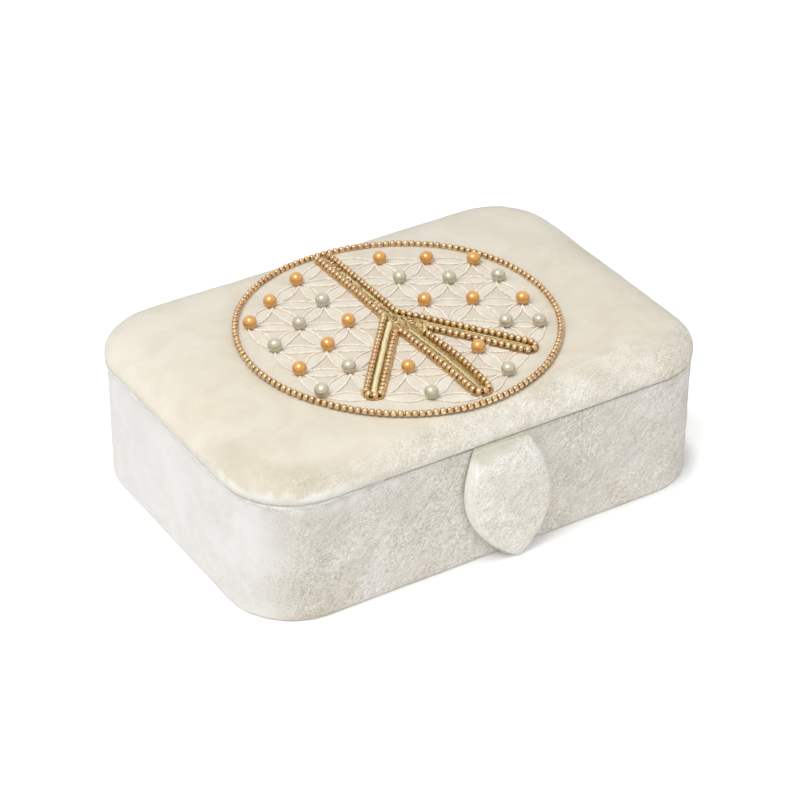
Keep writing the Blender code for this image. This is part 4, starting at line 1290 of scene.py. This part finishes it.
def seed_bead():
    """A drawn seed bead with a hole: ten sides, a few dozen faces."""
    outer, hole, half = BEAD * 0.545, 0.32 * MM, BEAD * 0.47
    profile = [
        (hole, -half * 0.8), (outer * 0.62, -half), (outer * 0.93, -half * 0.62), (outer, 0.0),
        (outer * 0.93, half * 0.62), (outer * 0.62, half), (hole, half * 0.8),
    ]
    bead = lathe("seed_bead", profile, 10)
    # the ends are marked here so that they can be painted darker, as shade where beads touch
    paint(bead.data, "end", smooth_step(0.35, 0.95, np.abs(points_of(bead.data)[:, 2]) / half))
    return bead


def at(value, i):
    """A value that may change along a line, at one of its places."""
    return value(i) if callable(value) else value


def round_cord(name, line, radius, sides, material, closed=False):
    """A plain thread along a line, with its run in millimetres kept for its twist."""
    bm = bmesh.new()
    layer = bm.verts.layers.float.new("along")
    rings, run, runs = [], 0.0, []
    for i, place in enumerate(line):
        before = line[i - 1] if i or closed else place
        after = line[(i + 1) % len(line)] if closed or i < len(line) - 1 else place
        along = (after - before).normalized()
        side = along.cross(Vector((0, 0, 1))).normalized()
        up = side.cross(along)
        run += (place - line[i - 1]).length / MM if i else 0.0
        runs.append(run)
        arms = [polar(at(radius, i), 2 * math.pi * k / sides) for k in range(sides)]
        rings.append([place + side * a + up * b for a, b in arms])
    rows = join_rings(bm, rings, closed)
    for row, run in zip(rows, runs):
        for vert in row:
            vert[layer] = run
    if not closed:
        cap_ends(bm, rows)
    bmesh.ops.recalc_face_normals(bm, faces=bm.faces)
    return keep_piece(name, bm, material, 180)


def shade_beads(piece):
    """Painted shade on the beads: darker over their upper halves, as if a dark room were mirrored
    there, less so at the very top, lighter just below the middle, darker again underneath and at
    their ends, where they touch.
    """
    up = normals_of(piece.data)[:, 2]
    bead_shade = smooth_step(0.1, 0.45, up) * (1 - 0.6 * smooth_step(0.9, 1.0, up))
    bead_shade += 0.7 * smooth_step(-0.3, -0.6, up)
    # painted shade at the bead ends, where neighbours touch
    if "end" in piece.data.attributes:
        end = np.empty(len(up), dtype=np.float32)
        piece.data.attributes["end"].data.foreach_get("value", end)
        bead_shade = np.maximum(0.8 * bead_shade, end)
    paint(piece.data, "painted_bead_shade", bead_shade)


def strung(name, line, tree, bead, gold, closed=False):
    """One row of beads, and the thread that it is strung on."""
    values = {"Unit": bead, "Lean": 0.0, "Spin": math.pi, "Unevenness": 0.16, "Material": gold}
    values["Count"] = round(path_length(line, closed) / BEAD_PITCH) + (0 if closed else 1)
    beads = grown(name + "_beads", path_mesh(name, [line], closed), tree, values)
    shade_beads(beads)
    return beads, round_cord(name + "_thread", line, 0.28 * MM, 6, COUCHING, closed)


def string_rows():
    """The ring of beads and the sign's, each strung by hand and so a little uneven."""
    tree = make_row_tree("strung_row", True, 11)
    bead = seed_bead()
    ring = []
    for k in range(296):
        angle = math.pi * k / 148
        wander = 0.12 * MM * noise.noise(Vector((*polar(4, angle), 5)))
        ring.append(polar(ring_radius(angle) + wander, angle))
    piece, thread = strung("ring", on_lid(ring, RING_LIFT), tree, bead, RING_GOLD, True)
    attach(piece, "lid")
    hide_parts("bead_ring")
    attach(thread, "lid")

    piece, thread = strung("sign", on_lid(sign_line(), SIGN_LIFT), tree, bead, SEED_GOLD)
    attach(piece, "lid")
    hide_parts("sign_bead_row")
    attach(thread, "lid")
    bpy.data.objects.remove(bead)


def pearl_ball():
    """A glass pearl: round, with a slight flat at each end of its hole."""
    radius = PEARL / 2
    profile = [(0.0, -radius * 0.965)]
    for k in range(1, 13):
        out, up = polar(radius, -math.pi / 2 + math.pi * k / 13)
        profile.append((out, 0.985 * up))
    profile.append((0.0, radius * 0.965))
    return lathe("pearl_ball", profile, 22)


def make_pearl_tree():
    """A pearl at every point, each turned and sized a little by chance."""
    tree, given, result = node_tree("sewn_pearls", {"Unit": "Object", "Tilt": "Float"})
    dots = put(tree, "GeometryNodeMeshToPoints", {"Mesh": given.outputs["Geometry"]})
    tilt = given.outputs["Tilt"]
    turns = [maths(tree, "MULTIPLY", chance(tree, -1.0, 1.0, 40 + k), tilt) for k in range(3)]
    size = chance(tree, (0.96, 0.96, 0.96), (1.02, 1.02, 1.0), 47, "FLOAT_VECTOR")
    end_tree(tree, given, result, dots.outputs[0], turned_by(tree, *turns), size)
    return tree


def sew_pearls():
    tree = make_pearl_tree()
    ball = pearl_ball()
    kinds = (
        ("golden_pearls", True, GOLD_PEARL, "golden_pearl"),
        ("silver_pearls", False, SILVER_PEARL, "silver_pearl"),
    )
    for name, golden, material, slot in kinds:
        places = [(x * MM, y * MM) for x, y, kind in PEARLS_MM if kind == golden]
        mesh = path_mesh(name, [[place] for place in on_lid(places, PEARL_LIFT)])
        piece = grown(name, mesh, tree, {"Unit": ball, "Tilt": 1.2, "Material": material})
        # painted highlight and shade: the pearls' tops lighter, their sides dimmer
        paint(piece.data, "painted_bead_shade", smooth_step(0.95, 0.3, normals_of(piece.data)[:, 2]))
        kept = "pearl_gold_" if golden else "pearl_silver_"
        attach(piece, "lid")
        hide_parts(*[node for node in NODES if node.startswith(kept)])
    bpy.data.objects.remove(ball)


def petal_stitches():
    """Twisted ivory thread along every petal line, one stitch after the other."""
    length, thick = 1.3 * MM, 0.44 * MM
    shape = ((0.0, -0.5), (0.8, -0.3), (1.0, 0.0), (0.8, 0.3), (0.0, 0.5))
    profile = [(thick * out, length * along) for out, along in shape]
    stitch = lathe("stitch", profile, 5)
    lines = []
    for a, b, first, second in PETALS:
        for centre in (first, second):
            start, end = a - centre, b - centre
            turn = start.angle_signed(end)
            arc = []
            for k in range(13):
                place = centre + rotated(start, -turn * k / 12)
                arc.append(place - Vector(hand_drawn(place.x, place.y)))
            lines += clear_of_sign(arc)
    lifted = [[on_cloth(p.x, p.y, 0.52 * MM) for p in line] for line in lines]
    tree = make_row_tree("couched_line", False, 23)
    values = {
        "Unit": stitch, "Pitch": 0.92 * MM, "Lean": 0.42, "Spin": 0.0, "Unevenness": 0.12,
        "Material": PETAL_THREAD,
    }
    piece = grown("petal_stitches", path_mesh("petal_lines", lifted), tree, values)
    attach(piece, "lid")
    bpy.data.objects.remove(stitch)


def clear_of_sign(arc):
    """The parts of a line that lie outside the sign and inside the ring."""
    parts, part = [], []
    for place in arc:
        if place.length < RING_RADIUS - 2.2 * MM and not inside_outline(place, SIGN_OUTLINE):
            part.append(place)
        elif part:
            parts.append(part)
            part = []
    parts.append(part)
    return [part for part in parts if len(part) > 1]


def inside_outline(place, line):
    inside = False
    for a, b in zip(line, line[1:] + line[:1]):
        if (a.y > place.y) != (b.y > place.y):
            if place.x < a.x + (place.y - a.y) / (b.y - a.y) * (b.x - a.x):
                inside = not inside
    return inside


def thread_finish():
    material, tree, shader = new_material(
        "ivory twist", {"Roughness": 0.6, "Sheen Weight": 0.3, "Sheen Roughness": 0.4}
    )
    cloud = noisy(tree, millimetres(tree), 3.0)
    share = maths(tree, "MULTIPLY_ADD", cloud, 0.6, attribute(tree, "tint"))
    base = mixed(tree, spread(tree, share, 0.2, 1.3), rgb(0.88, 0.80, 0.68), rgb(1.0, 0.96, 0.88))
    tree.links.new(base, shader.inputs["Base Color"])
    bumped(tree, shader, noisy(tree, millimetres(tree), 0.2), 0.5, 0.06)
    return material


PETAL_THREAD = thread_finish()
SIGN_OUTLINE = sign_line(1.5 * MM)
string_rows()
sew_pearls()
petal_stitches()


# Closing tab


# TAB_WIDEST is the share of its length at which it is widest, and TAB_POINT shapes its point
TAB_X = -0.6 * MM
TAB_LENGTH = 50.5 * MM
TAB_TOP_WIDTH = 24.2 * MM
TAB_WIDTH = 36.6 * MM
TAB_WIDEST = 0.44
TAB_POINT = 0.80
TAB_THICK = 5.8 * MM
TAB_TOP_THICK = 1.7 * MM
TAB_SWELL = 10 * MM
TAB_LEAN = math.radians(7.2)
TAB_BACK_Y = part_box("tab_back_velvet")[1].y
TAB_TOP_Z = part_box("tab_back_velvet")[1].z


def tab_middle(down):
    return TAB_X + math.tan(TAB_LEAN) * down


def tab_half_width(down):
    share = min(max(down / TAB_LENGTH, 0), 1)
    if share < TAB_WIDEST:
        rise = math.sin(math.pi / 2 * share / TAB_WIDEST)
        return (TAB_TOP_WIDTH + (TAB_WIDTH - TAB_TOP_WIDTH) * rise) / 2
    fall = (share - TAB_WIDEST) / (1 - TAB_WIDEST)
    return TAB_WIDTH / 2 * max(1 - fall**2, 0) ** TAB_POINT


def tab_thick(down):
    share = min(max(down / TAB_SWELL, 0), 1)
    return TAB_TOP_THICK + (TAB_THICK - TAB_TOP_THICK) * share * share * (3 - 2 * share)


def leaf_ring(shrink, share, low=0.0, steps=34):
    """One ring of the tab. Shrink draws it towards a middle line, share is its height between the
    back and the front face."""
    left, right = [], []
    for i in range(steps + 1):
        down = TAB_LENGTH * (1 - math.cos(math.pi * i / steps)) / 2
        half = tab_half_width(down) * shrink
        y = TAB_BACK_Y - low - (tab_thick(down) - low) * share
        left.append((tab_middle(down) - half, y, TAB_TOP_Z - down))
        right.append((tab_middle(down) + half, y, TAB_TOP_Z - down))
    return left + right[-2:0:-1]


def cover_tab():
    """The padded leaf: velvet front drawn round its board, velvet back."""
    shares = [(0.0, 0.0), (0.35, 0.0), (0.7, 0.0), (0.92, 0.0), (0.985, 0.02)]
    shares += [(1.0, 0.12), (1.0, 0.3), (1.0, 0.48), (0.985, 0.64), (0.955, 0.77), (0.91, 0.87)]
    shares += [(0.85, 0.93), (0.75, 0.965), (0.6, 0.985), (0.4, 0.995), (0.2, 1.0), (0.0, 1.0)]
    bm = bmesh.new()
    join_rings(bm, [leaf_ring(shrink, share) for shrink, share in shares])
    mend(bm)
    piece = keep_piece("tab_cover", bm, TAB_VELVET, 180)
    co = points_of(piece.data)
    down = TAB_TOP_Z - co[:, 2]
    held = np.where(co[:, 1] > TAB_BACK_Y - 0.2 * MM, 1.0, 1 - smooth_step(2 * MM, 12 * MM, down))
    swollen(piece, held, 3.0, 0.5 * MM)
    subdivided(piece)
    mesh = piece.data
    co = points_of(mesh)
    out = TAB_BACK_Y - co[:, 1]
    front = smooth_step(0.5 * MM, 2 * MM, out)
    roughened(mesh, ((12, 0.35, 12), (4, 0.16, 14), (1.8, 0.08, 15)), front)
    down = TAB_TOP_Z - co[:, 2]
    beside = co[:, 0] - tab_middle(down)
    side = beside / (TAB_WIDTH / 2)
    ragged = noise_at(co, 4 * MM, (3, 1, 8))
    low = (2.6 - 2.2 * side + 1.6 * ragged) * MM
    smooth_corner = (1 - smooth_step(low, low + 2.5 * MM, down)) * smooth_step(0.5, 0.1, side)
    inward = beside + np.array([tab_half_width(d) for d in down])
    rim = 1 - smooth_step(0.2 * MM, 3.6 * MM, inward + 0.5 * MM * ragged)
    rim *= smooth_step(1.5 * MM, 5 * MM, down) * (1 - smooth_step(26 * MM, 46 * MM, down))
    # painted light on the rim, which faces the light, and painted shade along the top, deeper at
    # the left, where the tab comes from under the lid
    paint(mesh, "nap_and_shade", np.clip(1.0 - 0.8 * smooth_corner - 0.5 * rim, 0.0, 1.0))
    paint(mesh, "painted_shade", 0.9 * smooth_corner * (1 - rim))
    paint(mesh, "painted_light", 0.62 * rim)
    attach(piece, "tab")
    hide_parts("tab_velvet", "tab_back_velvet", "tab_wadding")


def strip(name, line, half_width, thick, material, middle=0.0, columns=24):
    """A flat band across X that follows a line of (y, z) places; half width and thickness may
    change along it."""
    bm = bmesh.new()
    rings = []
    for i, (y, z) in enumerate(line):
        before, after = line[max(i - 1, 0)], line[min(i + 1, len(line) - 1)]
        run = Vector((after[0] - before[0], after[1] - before[1])).normalized()
        ny, nz = -run.y, run.x
        half, deep, mid = at(half_width, i), at(thick, i) / 2, at(middle, i)
        across = [mid - half + 2 * half * k / columns for k in range(columns + 1)]
        over = [(x, y + ny * deep, z + nz * deep) for x in across]
        back = [(x, y - ny * deep, z - nz * deep) for x in across[::-1]]
        rings.append(over + back)
    cap_ends(bm, join_rings(bm, rings))
    bmesh.ops.recalc_face_normals(bm, faces=bm.faces)
    return keep_piece(name, bm, material, 50)


def fold_tab():
    """The tab's cloth where it goes under the lid: one band, bent from under the lid down to the
    tab's top.
    """
    under = LID_UNDER - 0.27 * MM
    line = [(FOLD.y + 7.6 * MM - 1.0 * MM * k, under) for k in range(7)]
    out, bend = FOLD.y - 0.35 * MM, 0.75 * MM
    for k in range(9):
        angle = math.pi / 2 * k / 8
        line.append((out + bend - bend * math.sin(angle), under - bend + bend * math.cos(angle)))
    line += [(TAB_BACK_Y - 0.6 * MM, TAB_TOP_Z - down * MM) for down in (0.5, 1.5, 3)]
    count = len(line)

    def thick(i):
        return (0.42 + 0.75 * float(smooth_step(9, count - 1, i))) * MM

    def half(i):
        return 11.2 * MM + 0.8 * MM * float(smooth_step(6, count - 2, i))

    def middle(i):
        return tab_middle(max(TAB_TOP_Z - line[i][1], 0.0))

    piece = strip("tab_fold", line, half, thick, TAB_VELVET, middle)
    paint(piece.data, "nap_and_shade", 0.8)
    # painted shade under the lid
    paint(piece.data, "painted_shade", 1.0)
    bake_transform(piece)
    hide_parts("tab_tongue")


def hang_hinge():
    """The hinge ribbon: down the tray's wall, over the rim, and back along the lid's underside."""
    wall_y = WIDTH / 2 - TRAY_IN - 0.14 * MM
    low, high = RIM + 0.11 * MM, LID_UNDER - 0.11 * MM
    line = [(wall_y, RIM - 10 * MM + 1.2 * MM * k) for k in range(8)]
    for k in range(5):
        y, z = polar(0.6 * MM, math.pi / 2 * k / 4)
        line.append((wall_y + 0.6 * MM - y, low - 0.6 * MM + z))
    line += [(y, low) for y in np.linspace(wall_y + 1.4 * MM, HINGE.y - 0.7 * MM, 6)]
    middle, bend = (low + high) / 2, (high - low) / 2
    for k in range(1, 9):
        y, z = polar(bend, -math.pi / 2 + math.pi * k / 9)
        line.append((HINGE.y - 0.5 * MM + 1.6 * y, middle + z))
    line += [(y, high) for y in np.linspace(HINGE.y - 0.7 * MM, WIDTH / 2 - HEM + 0.3 * MM, 7)]
    piece = strip("hinge_ribbon", line, 65 * MM, 0.17 * MM, TAPE, columns=60)
    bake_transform(piece)
    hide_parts("hinge_tape_base", "hinge_tape_lid")


# Inside of the tray


def line_tray():
    """The lining round the wall's inside, gathered a little."""
    box_low, box_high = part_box("wall_lining")
    low, high = box_low.z, box_high.z
    inner = inset_of(box_high.x, 0.0)
    corners = [(inner, low), (inner, high), (inner + 0.8 * MM, high), (inner + 0.8 * MM, low)]
    section = fine_section(corners, 2.2 * MM)
    bm = bmesh.new()
    join_rings(bm, [outline(i, z, step=1.4 * MM) for i, z in section], True)
    mend(bm)
    piece = keep_piece("tray_lining", bm, SATIN)
    co = points_of(piece.data)
    face = smooth_step(inner + 0.5 * MM, inner + 0.7 * MM, inset_of(co[:, 0], co[:, 1]))
    gather = noise_at(co, np.array((6, 6, 50)) * MM)
    lift = face * (0.12 + 0.22 * gather) * MM
    set_points(piece.data, co + normals_of(piece.data) * lift[:, None])
    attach(piece, "base")
    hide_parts("wall_lining")


def pad_tray():
    """The thin soft pad on the tray's floor."""
    low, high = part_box("floor_pad")
    inset = inset_of(high.x, 0.0)
    thick = high.z - low.z
    step = 3.2 * MM
    over = [(0.0, 0.5), (0.35, 0.8), (1.1, 0.97), (2.2, 1.0)]
    rings = [outline(inset + 2.2 * MM, low.z, 1 - k / 14, step) for k in range(13, -1, -1)]
    rings += [outline(inset + 0.3 * MM, low.z, step=step)]
    rings += [outline(inset + d * MM, low.z + thick * s, step=step) for d, s in over]
    rings += [outline(inset + 2.2 * MM, high.z, 1 - k / 26, step) for k in range(1, 26)]
    bm = bmesh.new()
    rows = join_rings(bm, rings)
    close_ring(bm, rows[0])
    close_ring(bm, rows[-1])
    mend(bm)
    piece = keep_piece("tray_pad", bm, INNER_VELVET, 180)
    co = points_of(piece.data)
    held = np.where(co[:, 2] < low.z + 0.2 * MM, 1.0, 0.0)
    swollen(piece, held, 2.0, 0.6 * MM)
    subdivided(piece)
    co = points_of(piece.data)
    free = smooth_step(low.z + 0.3 * MM, low.z + 1.2 * MM, co[:, 2])
    roughened(piece.data, ((18, 0.35, 21), (5, 0.1, 22)), free)
    fleck = noise_at(points_of(piece.data), 30 * MM)
    paint(piece.data, "nap_and_shade", np.clip(0.45 + 0.6 * fleck, 0, 1))
    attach(piece, "base")
    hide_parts("floor_pad")


cover_tab()
fold_tab()
hang_hinge()
line_tray()
pad_tray()


# Pile that stands up along the edges of the velvet


def stretch_of(loop, kept):
    """The part of a closed line where the test holds, from its one end to the other."""
    line = [Vector(p) for p in loop if kept(*p)]
    start = max(range(len(line)), key=lambda i: (line[i] - line[i - 1]).length)
    return line[start:] + line[:start]


def stand_pile():
    """Tufts along the lid's lower edge, the wall's rim and the tab's outline."""
    length, thick = 0.95 * MM, 0.11 * MM
    tuft = lathe("tuft", [(0.0, -thick), (thick, 0.0), (0.0, length)], 4)
    tuft.data.transform(Matrix.Rotation(math.pi / 2, 4, "Y"))
    tree = make_row_tree("standing_pile", False, 71)
    lid = [outline(i * MM, LID_UNDER + up * MM) for i, up in ((-0.1, 0.35), (-0.5, 1.1))]
    wall = [outline(i * MM, RIM - down * MM) for i, down in ((0.3, 0.25), (0.05, 0.9))]
    corner = []
    for inset, up, back in (
        (-0.35, 0.1, 60), (-0.55, 0.3, 60), (-0.65, 0.6, 60), (-0.7, 1.1, 20), (-0.8, 1.7, -25),
        (-0.8, 2.4, -25), (-0.75, 3.2, -25), (-0.35, 4.2, -25),
    ):
        loop = outline(inset * MM, LID_UNDER + up * MM)
        corner.append(stretch_of(loop, lambda x, y, z: x < -50 * MM and y < back * MM))
    shares = ((0.985, 0.25), (0.985, 0.55), (0.965, 0.8))
    leaf = [leaf_ring(shrink, share) for shrink, share in shares]
    tip = min(range(len(leaf[0])), key=lambda i: leaf[0][i][2])
    leaf = [part for line in leaf for part in (line[3:tip - 2], line[tip + 3:-3])]
    for name, lines, closed, material, body, nap_and_shade in (
        ("lid_edge_pile", lid, True, LID_VELVET, "lid", 0.75),
        ("lid_corner_pile", corner, False, LID_VELVET, "lid", 0.75),
        ("rim_pile", wall, True, WALL_VELVET, "base", 0.6),
        ("tab_edge_pile", leaf, False, TAB_VELVET, "tab", 0.5),
    ):
        values = {
            "Unit": tuft, "Pitch": 0.3 * MM, "Lean": 0.0, "Spin": math.pi, "Unevenness": 0.55,
            "Material": material,
        }
        piece = grown(name, path_mesh(name, lines, closed), tree, values)
        paint(piece.data, "nap_and_shade", nap_and_shade)
        # painted light: the tufts are lighter towards the left, where the light falls
        x = points_of(piece.data)[:, 0]
        left = -LENGTH / 2 + 8 * MM if closed else TAB_X - 10 * MM
        paint(piece.data, "painted_light", 1 - 0.8 * smooth_step(left, left + 26 * MM, x))
        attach(piece, body)
    bpy.data.objects.remove(tuft)


def raise_rim():
    """Pile rubbed up along the wall's left rim: a broken, fluffy line under the lid, and finer
    pile above it that closes the parting as far as the front."""
    for name, inset, drop, reach, low, high, rough, painted_light in (
        ("rim_fluff", -0.05, 0.5, 24, 0.24, 0.8, 0.9, 0.9),
        ("parting_fluff", -0.36, -0.2, 48, 0.42, 0.6, 0.3, 0.9),
    ):
        loop = outline(inset * MM, RIM - drop * MM, step=0.5 * MM)
        right = -LENGTH / 2 + reach * MM
        line = stretch_of(loop, lambda x, y, z: x < right and (y < 0 or x < -90 * MM))
        lumps = noise_at(line, 3 * MM) + 0.8 * noise_at(line, 1.1 * MM)
        lumps += 0.5 * noise_at(line, 0.6 * MM)
        sizes = []
        for i, lump in enumerate(lumps):
            end = min(i, len(line) - 1 - i) / 30
            sizes.append(max(min(low + rough * lump, high) * min(end, 1.0), 0.06) * MM)
        piece = round_cord(name, line, sizes.__getitem__, 7, WALL_VELVET)
        paint(piece.data, "nap_and_shade", 0.4)
        # painted light: the fluff is painted nearly white, as lit
        paint(piece.data, "painted_light", painted_light)
        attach(piece, "base")


stand_pile()
raise_rim()


# Gold work between the sign's rows of beads


# Middle line of each bar, half the distance between its two rows of beads, and how far its gold
# ground reaches past them
BARS_MM = {
    "upper": (((0.98, 59.3), (0.0, 4.0)), 2.75, 0.95),
    "lower": (((0.2, 5.0), (0.5, -3.5), (2.3, -31.0), (2.3, -55.2)), 3.5, 0.95),
    "left": (((-0.5, 4.9), (-34.4, -37.1)), 2.85, 0.95),
    "right": (((0.9, 4.3), (33.8, -40.6)), 3.0, 0.3),
}


def bar_line(name, step=1.0 * MM):
    points = [Vector(p) * MM for p in BARS_MM[name][0]]
    line = [points[0]]
    for a, b in zip(points, points[1:]):
        count = max(round((b - a).length / step), 2)
        line += [a.lerp(b, k / count) for k in range(1, count + 1)]
    return line


def lay_ground(name, bars, nodes):
    """The padded strip of laid gold thread that carries each bar's two bead rows: low at the
    rows, higher in the middle, with a narrow edge outside the beads."""
    bm = bmesh.new()
    shares = (-1.0, -0.95, -0.85, -0.7, -0.5, -0.3, -0.1, 0.1, 0.3, 0.5, 0.7, 0.85, 0.95, 1.0)
    for bar in bars:
        line = bar_line(bar, 0.7 * MM)
        half = sum(BARS_MM[bar][1:]) * MM
        rings = []
        for i, place in enumerate(line):
            side = sideways(line, i)
            left = (len(line) - 1 - i) * 0.7 * MM
            swell = math.sqrt(max(1 - max(1 - left / half, 0) ** 2, 0.01))
            ring = []
            for share in shares:
                flat = place + side * half * swell * share
                lump = 0.34 * noise.noise(Vector((flat.x, flat.y, 0)) / 0.0012)
                crown = 1.1 * math.exp(-((share / 0.55) ** 2)) + 0.5
                rise = (crown + lump) * min(1.0, (1 - abs(share)) * 7) * MM
                ring.append(on_cloth(flat.x, flat.y, rise))
            for share in (0.6, 0.0, -0.6):
                flat = place + side * half * swell * share
                ring.append(on_cloth(flat.x, flat.y, -0.1 * MM))
            rings.append(ring)
        cap_ends(bm, join_rings(bm, rings))
    bmesh.ops.recalc_face_normals(bm, faces=bm.faces)
    piece = keep_piece(name, bm, GOLD_GROUND, 180)
    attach(piece, "lid")
    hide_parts(*nodes)


def gold_ground_finish():
    material, tree, shader = new_material("laid gold thread", {"Metallic": 1.0, "Roughness": 0.3})
    lump = noisy(tree, millimetres(tree), 0.8, 3.0, 0.7, 0.8)
    share = spread(tree, lump, 0.3, 0.7)
    colour = mixed(tree, share, rgb(0.26, 0.165, 0.055), rgb(0.84, 0.66, 0.33))
    tree.links.new(colour, shader.inputs["Base Color"])
    bumped(tree, shader, lump, 1.0, 0.5)
    return material


def bullion_cores():
    """Coiled wire laid along each bar, thickest down the middle of the left arm."""
    for name, bar, first, last, radius, off in (
        ("bullion_left_arm", "left", 0.12, 0.99, 1.25, 0.0),
        ("bullion_lower_bar", "lower", 0.20, 0.95, 0.5, 0.9),
        ("bullion_upper_bar", "upper", 0.30, 0.97, 0.45, -0.2),
        ("bullion_right_arm", "right", 0.22, 0.93, 0.40, 0.0),
    ):
        line = bar_line(bar, 0.35 * MM)
        line = line[int(first * len(line)):int(last * len(line))]
        shifted = []
        for i, place in enumerate(line):
            wave = 0.18 * noise.noise(Vector((i * 0.06, radius * 9, 1.0)))
            shifted.append(place + sideways(line, i) * (off + wave) * MM)
        laid = on_lid(shifted, (1.1 + 0.4 * radius) * MM)
        piece = round_cord(name, laid, radius * MM, 8, PURL)
        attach(piece, "lid")


def row_cords():
    """The gold cord that the bead rows are sewn along, showing at their outer side. It is thinner
    round the right arm."""
    line = on_lid(sign_line(1.1 * MM), 0.4 * MM)
    sizes = [(0.25 if place.x > 6.5 * MM and place.y < 3 * MM else 0.5) * MM for place in line]
    piece = round_cord("sign_cord", line, sizes.__getitem__, 7, CORD_GOLD)
    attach(piece, "lid")


def make_chip_tree():
    """Units scattered over the given mesh, lying nearly flat, each turned its own way."""
    inputs = {"Unit": "Object", "Density": "Float", "Tilt": "Float"}
    tree, given, result = node_tree("scattered_chips", inputs)
    inputs = {"Mesh": given.outputs["Geometry"], "Density": given.outputs["Density"], "Seed": 6}
    kind = "GeometryNodeDistributePointsOnFaces"
    dots = put(tree, kind, inputs, distribute_method="RANDOM").outputs["Points"]
    tilt = given.outputs["Tilt"]
    turns = [maths(tree, "MULTIPLY", chance(tree, -1.0, 1.0, 60 + k), tilt) for k in range(2)]
    lying = maths(tree, "ADD", turns[0], math.pi / 2)
    spin = chance(tree, 0.0, 2 * math.pi, 63)
    size = chance(tree, (0.7, 0.7, 0.6), (1.1, 1.1, 1.2), 64, "FLOAT_VECTOR")
    end_tree(tree, given, result, dots, turned_by(tree, lying, turns[1], spin), size, 66)
    return tree


def scatter_chips():
    """Short cut lengths of bullion sewn on where the bars meet and up the upper bar."""
    radius, half = 0.42 * MM, 0.75 * MM
    shape = (
        (0.0, -1.0), (0.8, -1.0), (1.0, -0.5), (0.84, -0.25), (1.0, 0.0), (0.84, 0.25), (1.0, 0.5),
        (0.8, 1.0), (0.0, 1.0),
    )
    chip = lathe("chip", [(radius * out, half * along) for out, along in shape], 7)
    bm = bmesh.new()
    for bar, first, last, half_width in (
        ("upper", 0.08, 1.0, 1.1),
        ("lower", 0.0, 0.2, 1.9),
        ("left", 0.0, 0.12, 1.2),
        ("right", 0.0, 0.25, 1.3),
    ):
        line = bar_line(bar)
        line = line[int(first * len(line)):max(int(last * len(line)), 2)]
        rows = []
        for i, place in enumerate(line):
            side = sideways(line, i) * half_width * MM
            row = []
            for share in (-1, 0, 1):
                flat = place + side * share
                lift = (1.75 - 0.5 * abs(share)) * MM
                row.append(bm.verts.new(on_cloth(flat.x, flat.y, lift)))
            rows.append(row)
        for low, high in zip(rows, rows[1:]):
            for k in (0, 1):
                bm.faces.new((low[k], low[k + 1], high[k + 1], high[k]))
    bmesh.ops.recalc_face_normals(bm, faces=bm.faces)
    field = mesh_of("chip_field", bm)
    values = {"Unit": chip, "Density": 1.0e6, "Tilt": 0.5, "Material": CHIP_GOLD}
    piece = grown("bullion_chips", field, make_chip_tree(), values)
    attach(piece, "lid")
    bpy.data.objects.remove(chip)


GOLD_GROUND = gold_ground_finish()
PURL = metal("bright coiled wire", rgb(0.74, 0.56, 0.25), rgb(1.0, 0.94, 0.70), 0.25, False, 0.6)
CORD_GOLD = metal("gold cord", rgb(0.42, 0.20, 0.06), rgb(0.92, 0.66, 0.32), 0.3, False, 0.9)
CHIP_GOLD = metal("cut bullion", rgb(0.27, 0.18, 0.08), rgb(0.76, 0.60, 0.35), 0.3)
lay_ground("gold_ground_upright", ("upper", "lower"), ["braid_upright"])
lay_ground("gold_ground_left", ("left",), ["braid_left"])
lay_ground("gold_ground_right", ("right",), ["braid_right"])
bullion_cores()
row_cords()
scatter_chips()


# Finishes for the model's own boards, card and steel


def board_finish():
    material, tree, shader = new_material(
        "grey board", {"Roughness": 0.9, "Specular IOR Level": 0.2}
    )
    place = millimetres(tree)
    flock = noisy(tree, place, 0.8, 4.0, 0.7)
    cloud = noisy(tree, place, 18.0, 2.0)
    share = spread(tree, flock, 0.3, 0.7)
    colour = mixed(tree, share, rgb(0.30, 0.29, 0.27), rgb(0.44, 0.43, 0.40))
    colour = mixed(tree, maths(tree, "MULTIPLY", cloud, 0.4), colour, rgb(0.34, 0.31, 0.27))
    tree.links.new(colour, shader.inputs["Base Color"])
    bumped(tree, shader, flock, 0.4, 0.15)
    return material


def steel_finish():
    material, tree, shader = new_material("bright steel", {"Metallic": 1.0, "Roughness": 0.3})
    drawn = {"Vector": millimetres(tree), "Scale": (1.0, 1.0, 12.0)}
    brushed = noisy(tree, put(tree, "ShaderNodeMapping", drawn).outputs[0], 1.2, 3.0)
    colour = mixed(tree, brushed, rgb(0.50, 0.50, 0.51), rgb(0.66, 0.66, 0.67))
    tree.links.new(colour, shader.inputs["Base Color"])
    tree.links.new(spread(tree, brushed, 0.2, 0.8, 0.24, 0.42), shader.inputs["Roughness"])
    bumped(tree, shader, brushed, 0.3, 0.03)
    return material


GREY_BOARD = board_finish()
STEEL = steel_finish()
for names, finish in (
    (("base_board", "wall_board", "floor_card", "lid_board", "tab_board"), GREY_BOARD),
    (("wall_keeper", "tab_magnet"), STEEL),
    (("underside_sheet",), UNDER_CLOTH),
):
    for node in names:
        NODES[node].data.materials.clear()
        NODES[node].data.materials.append(finish)
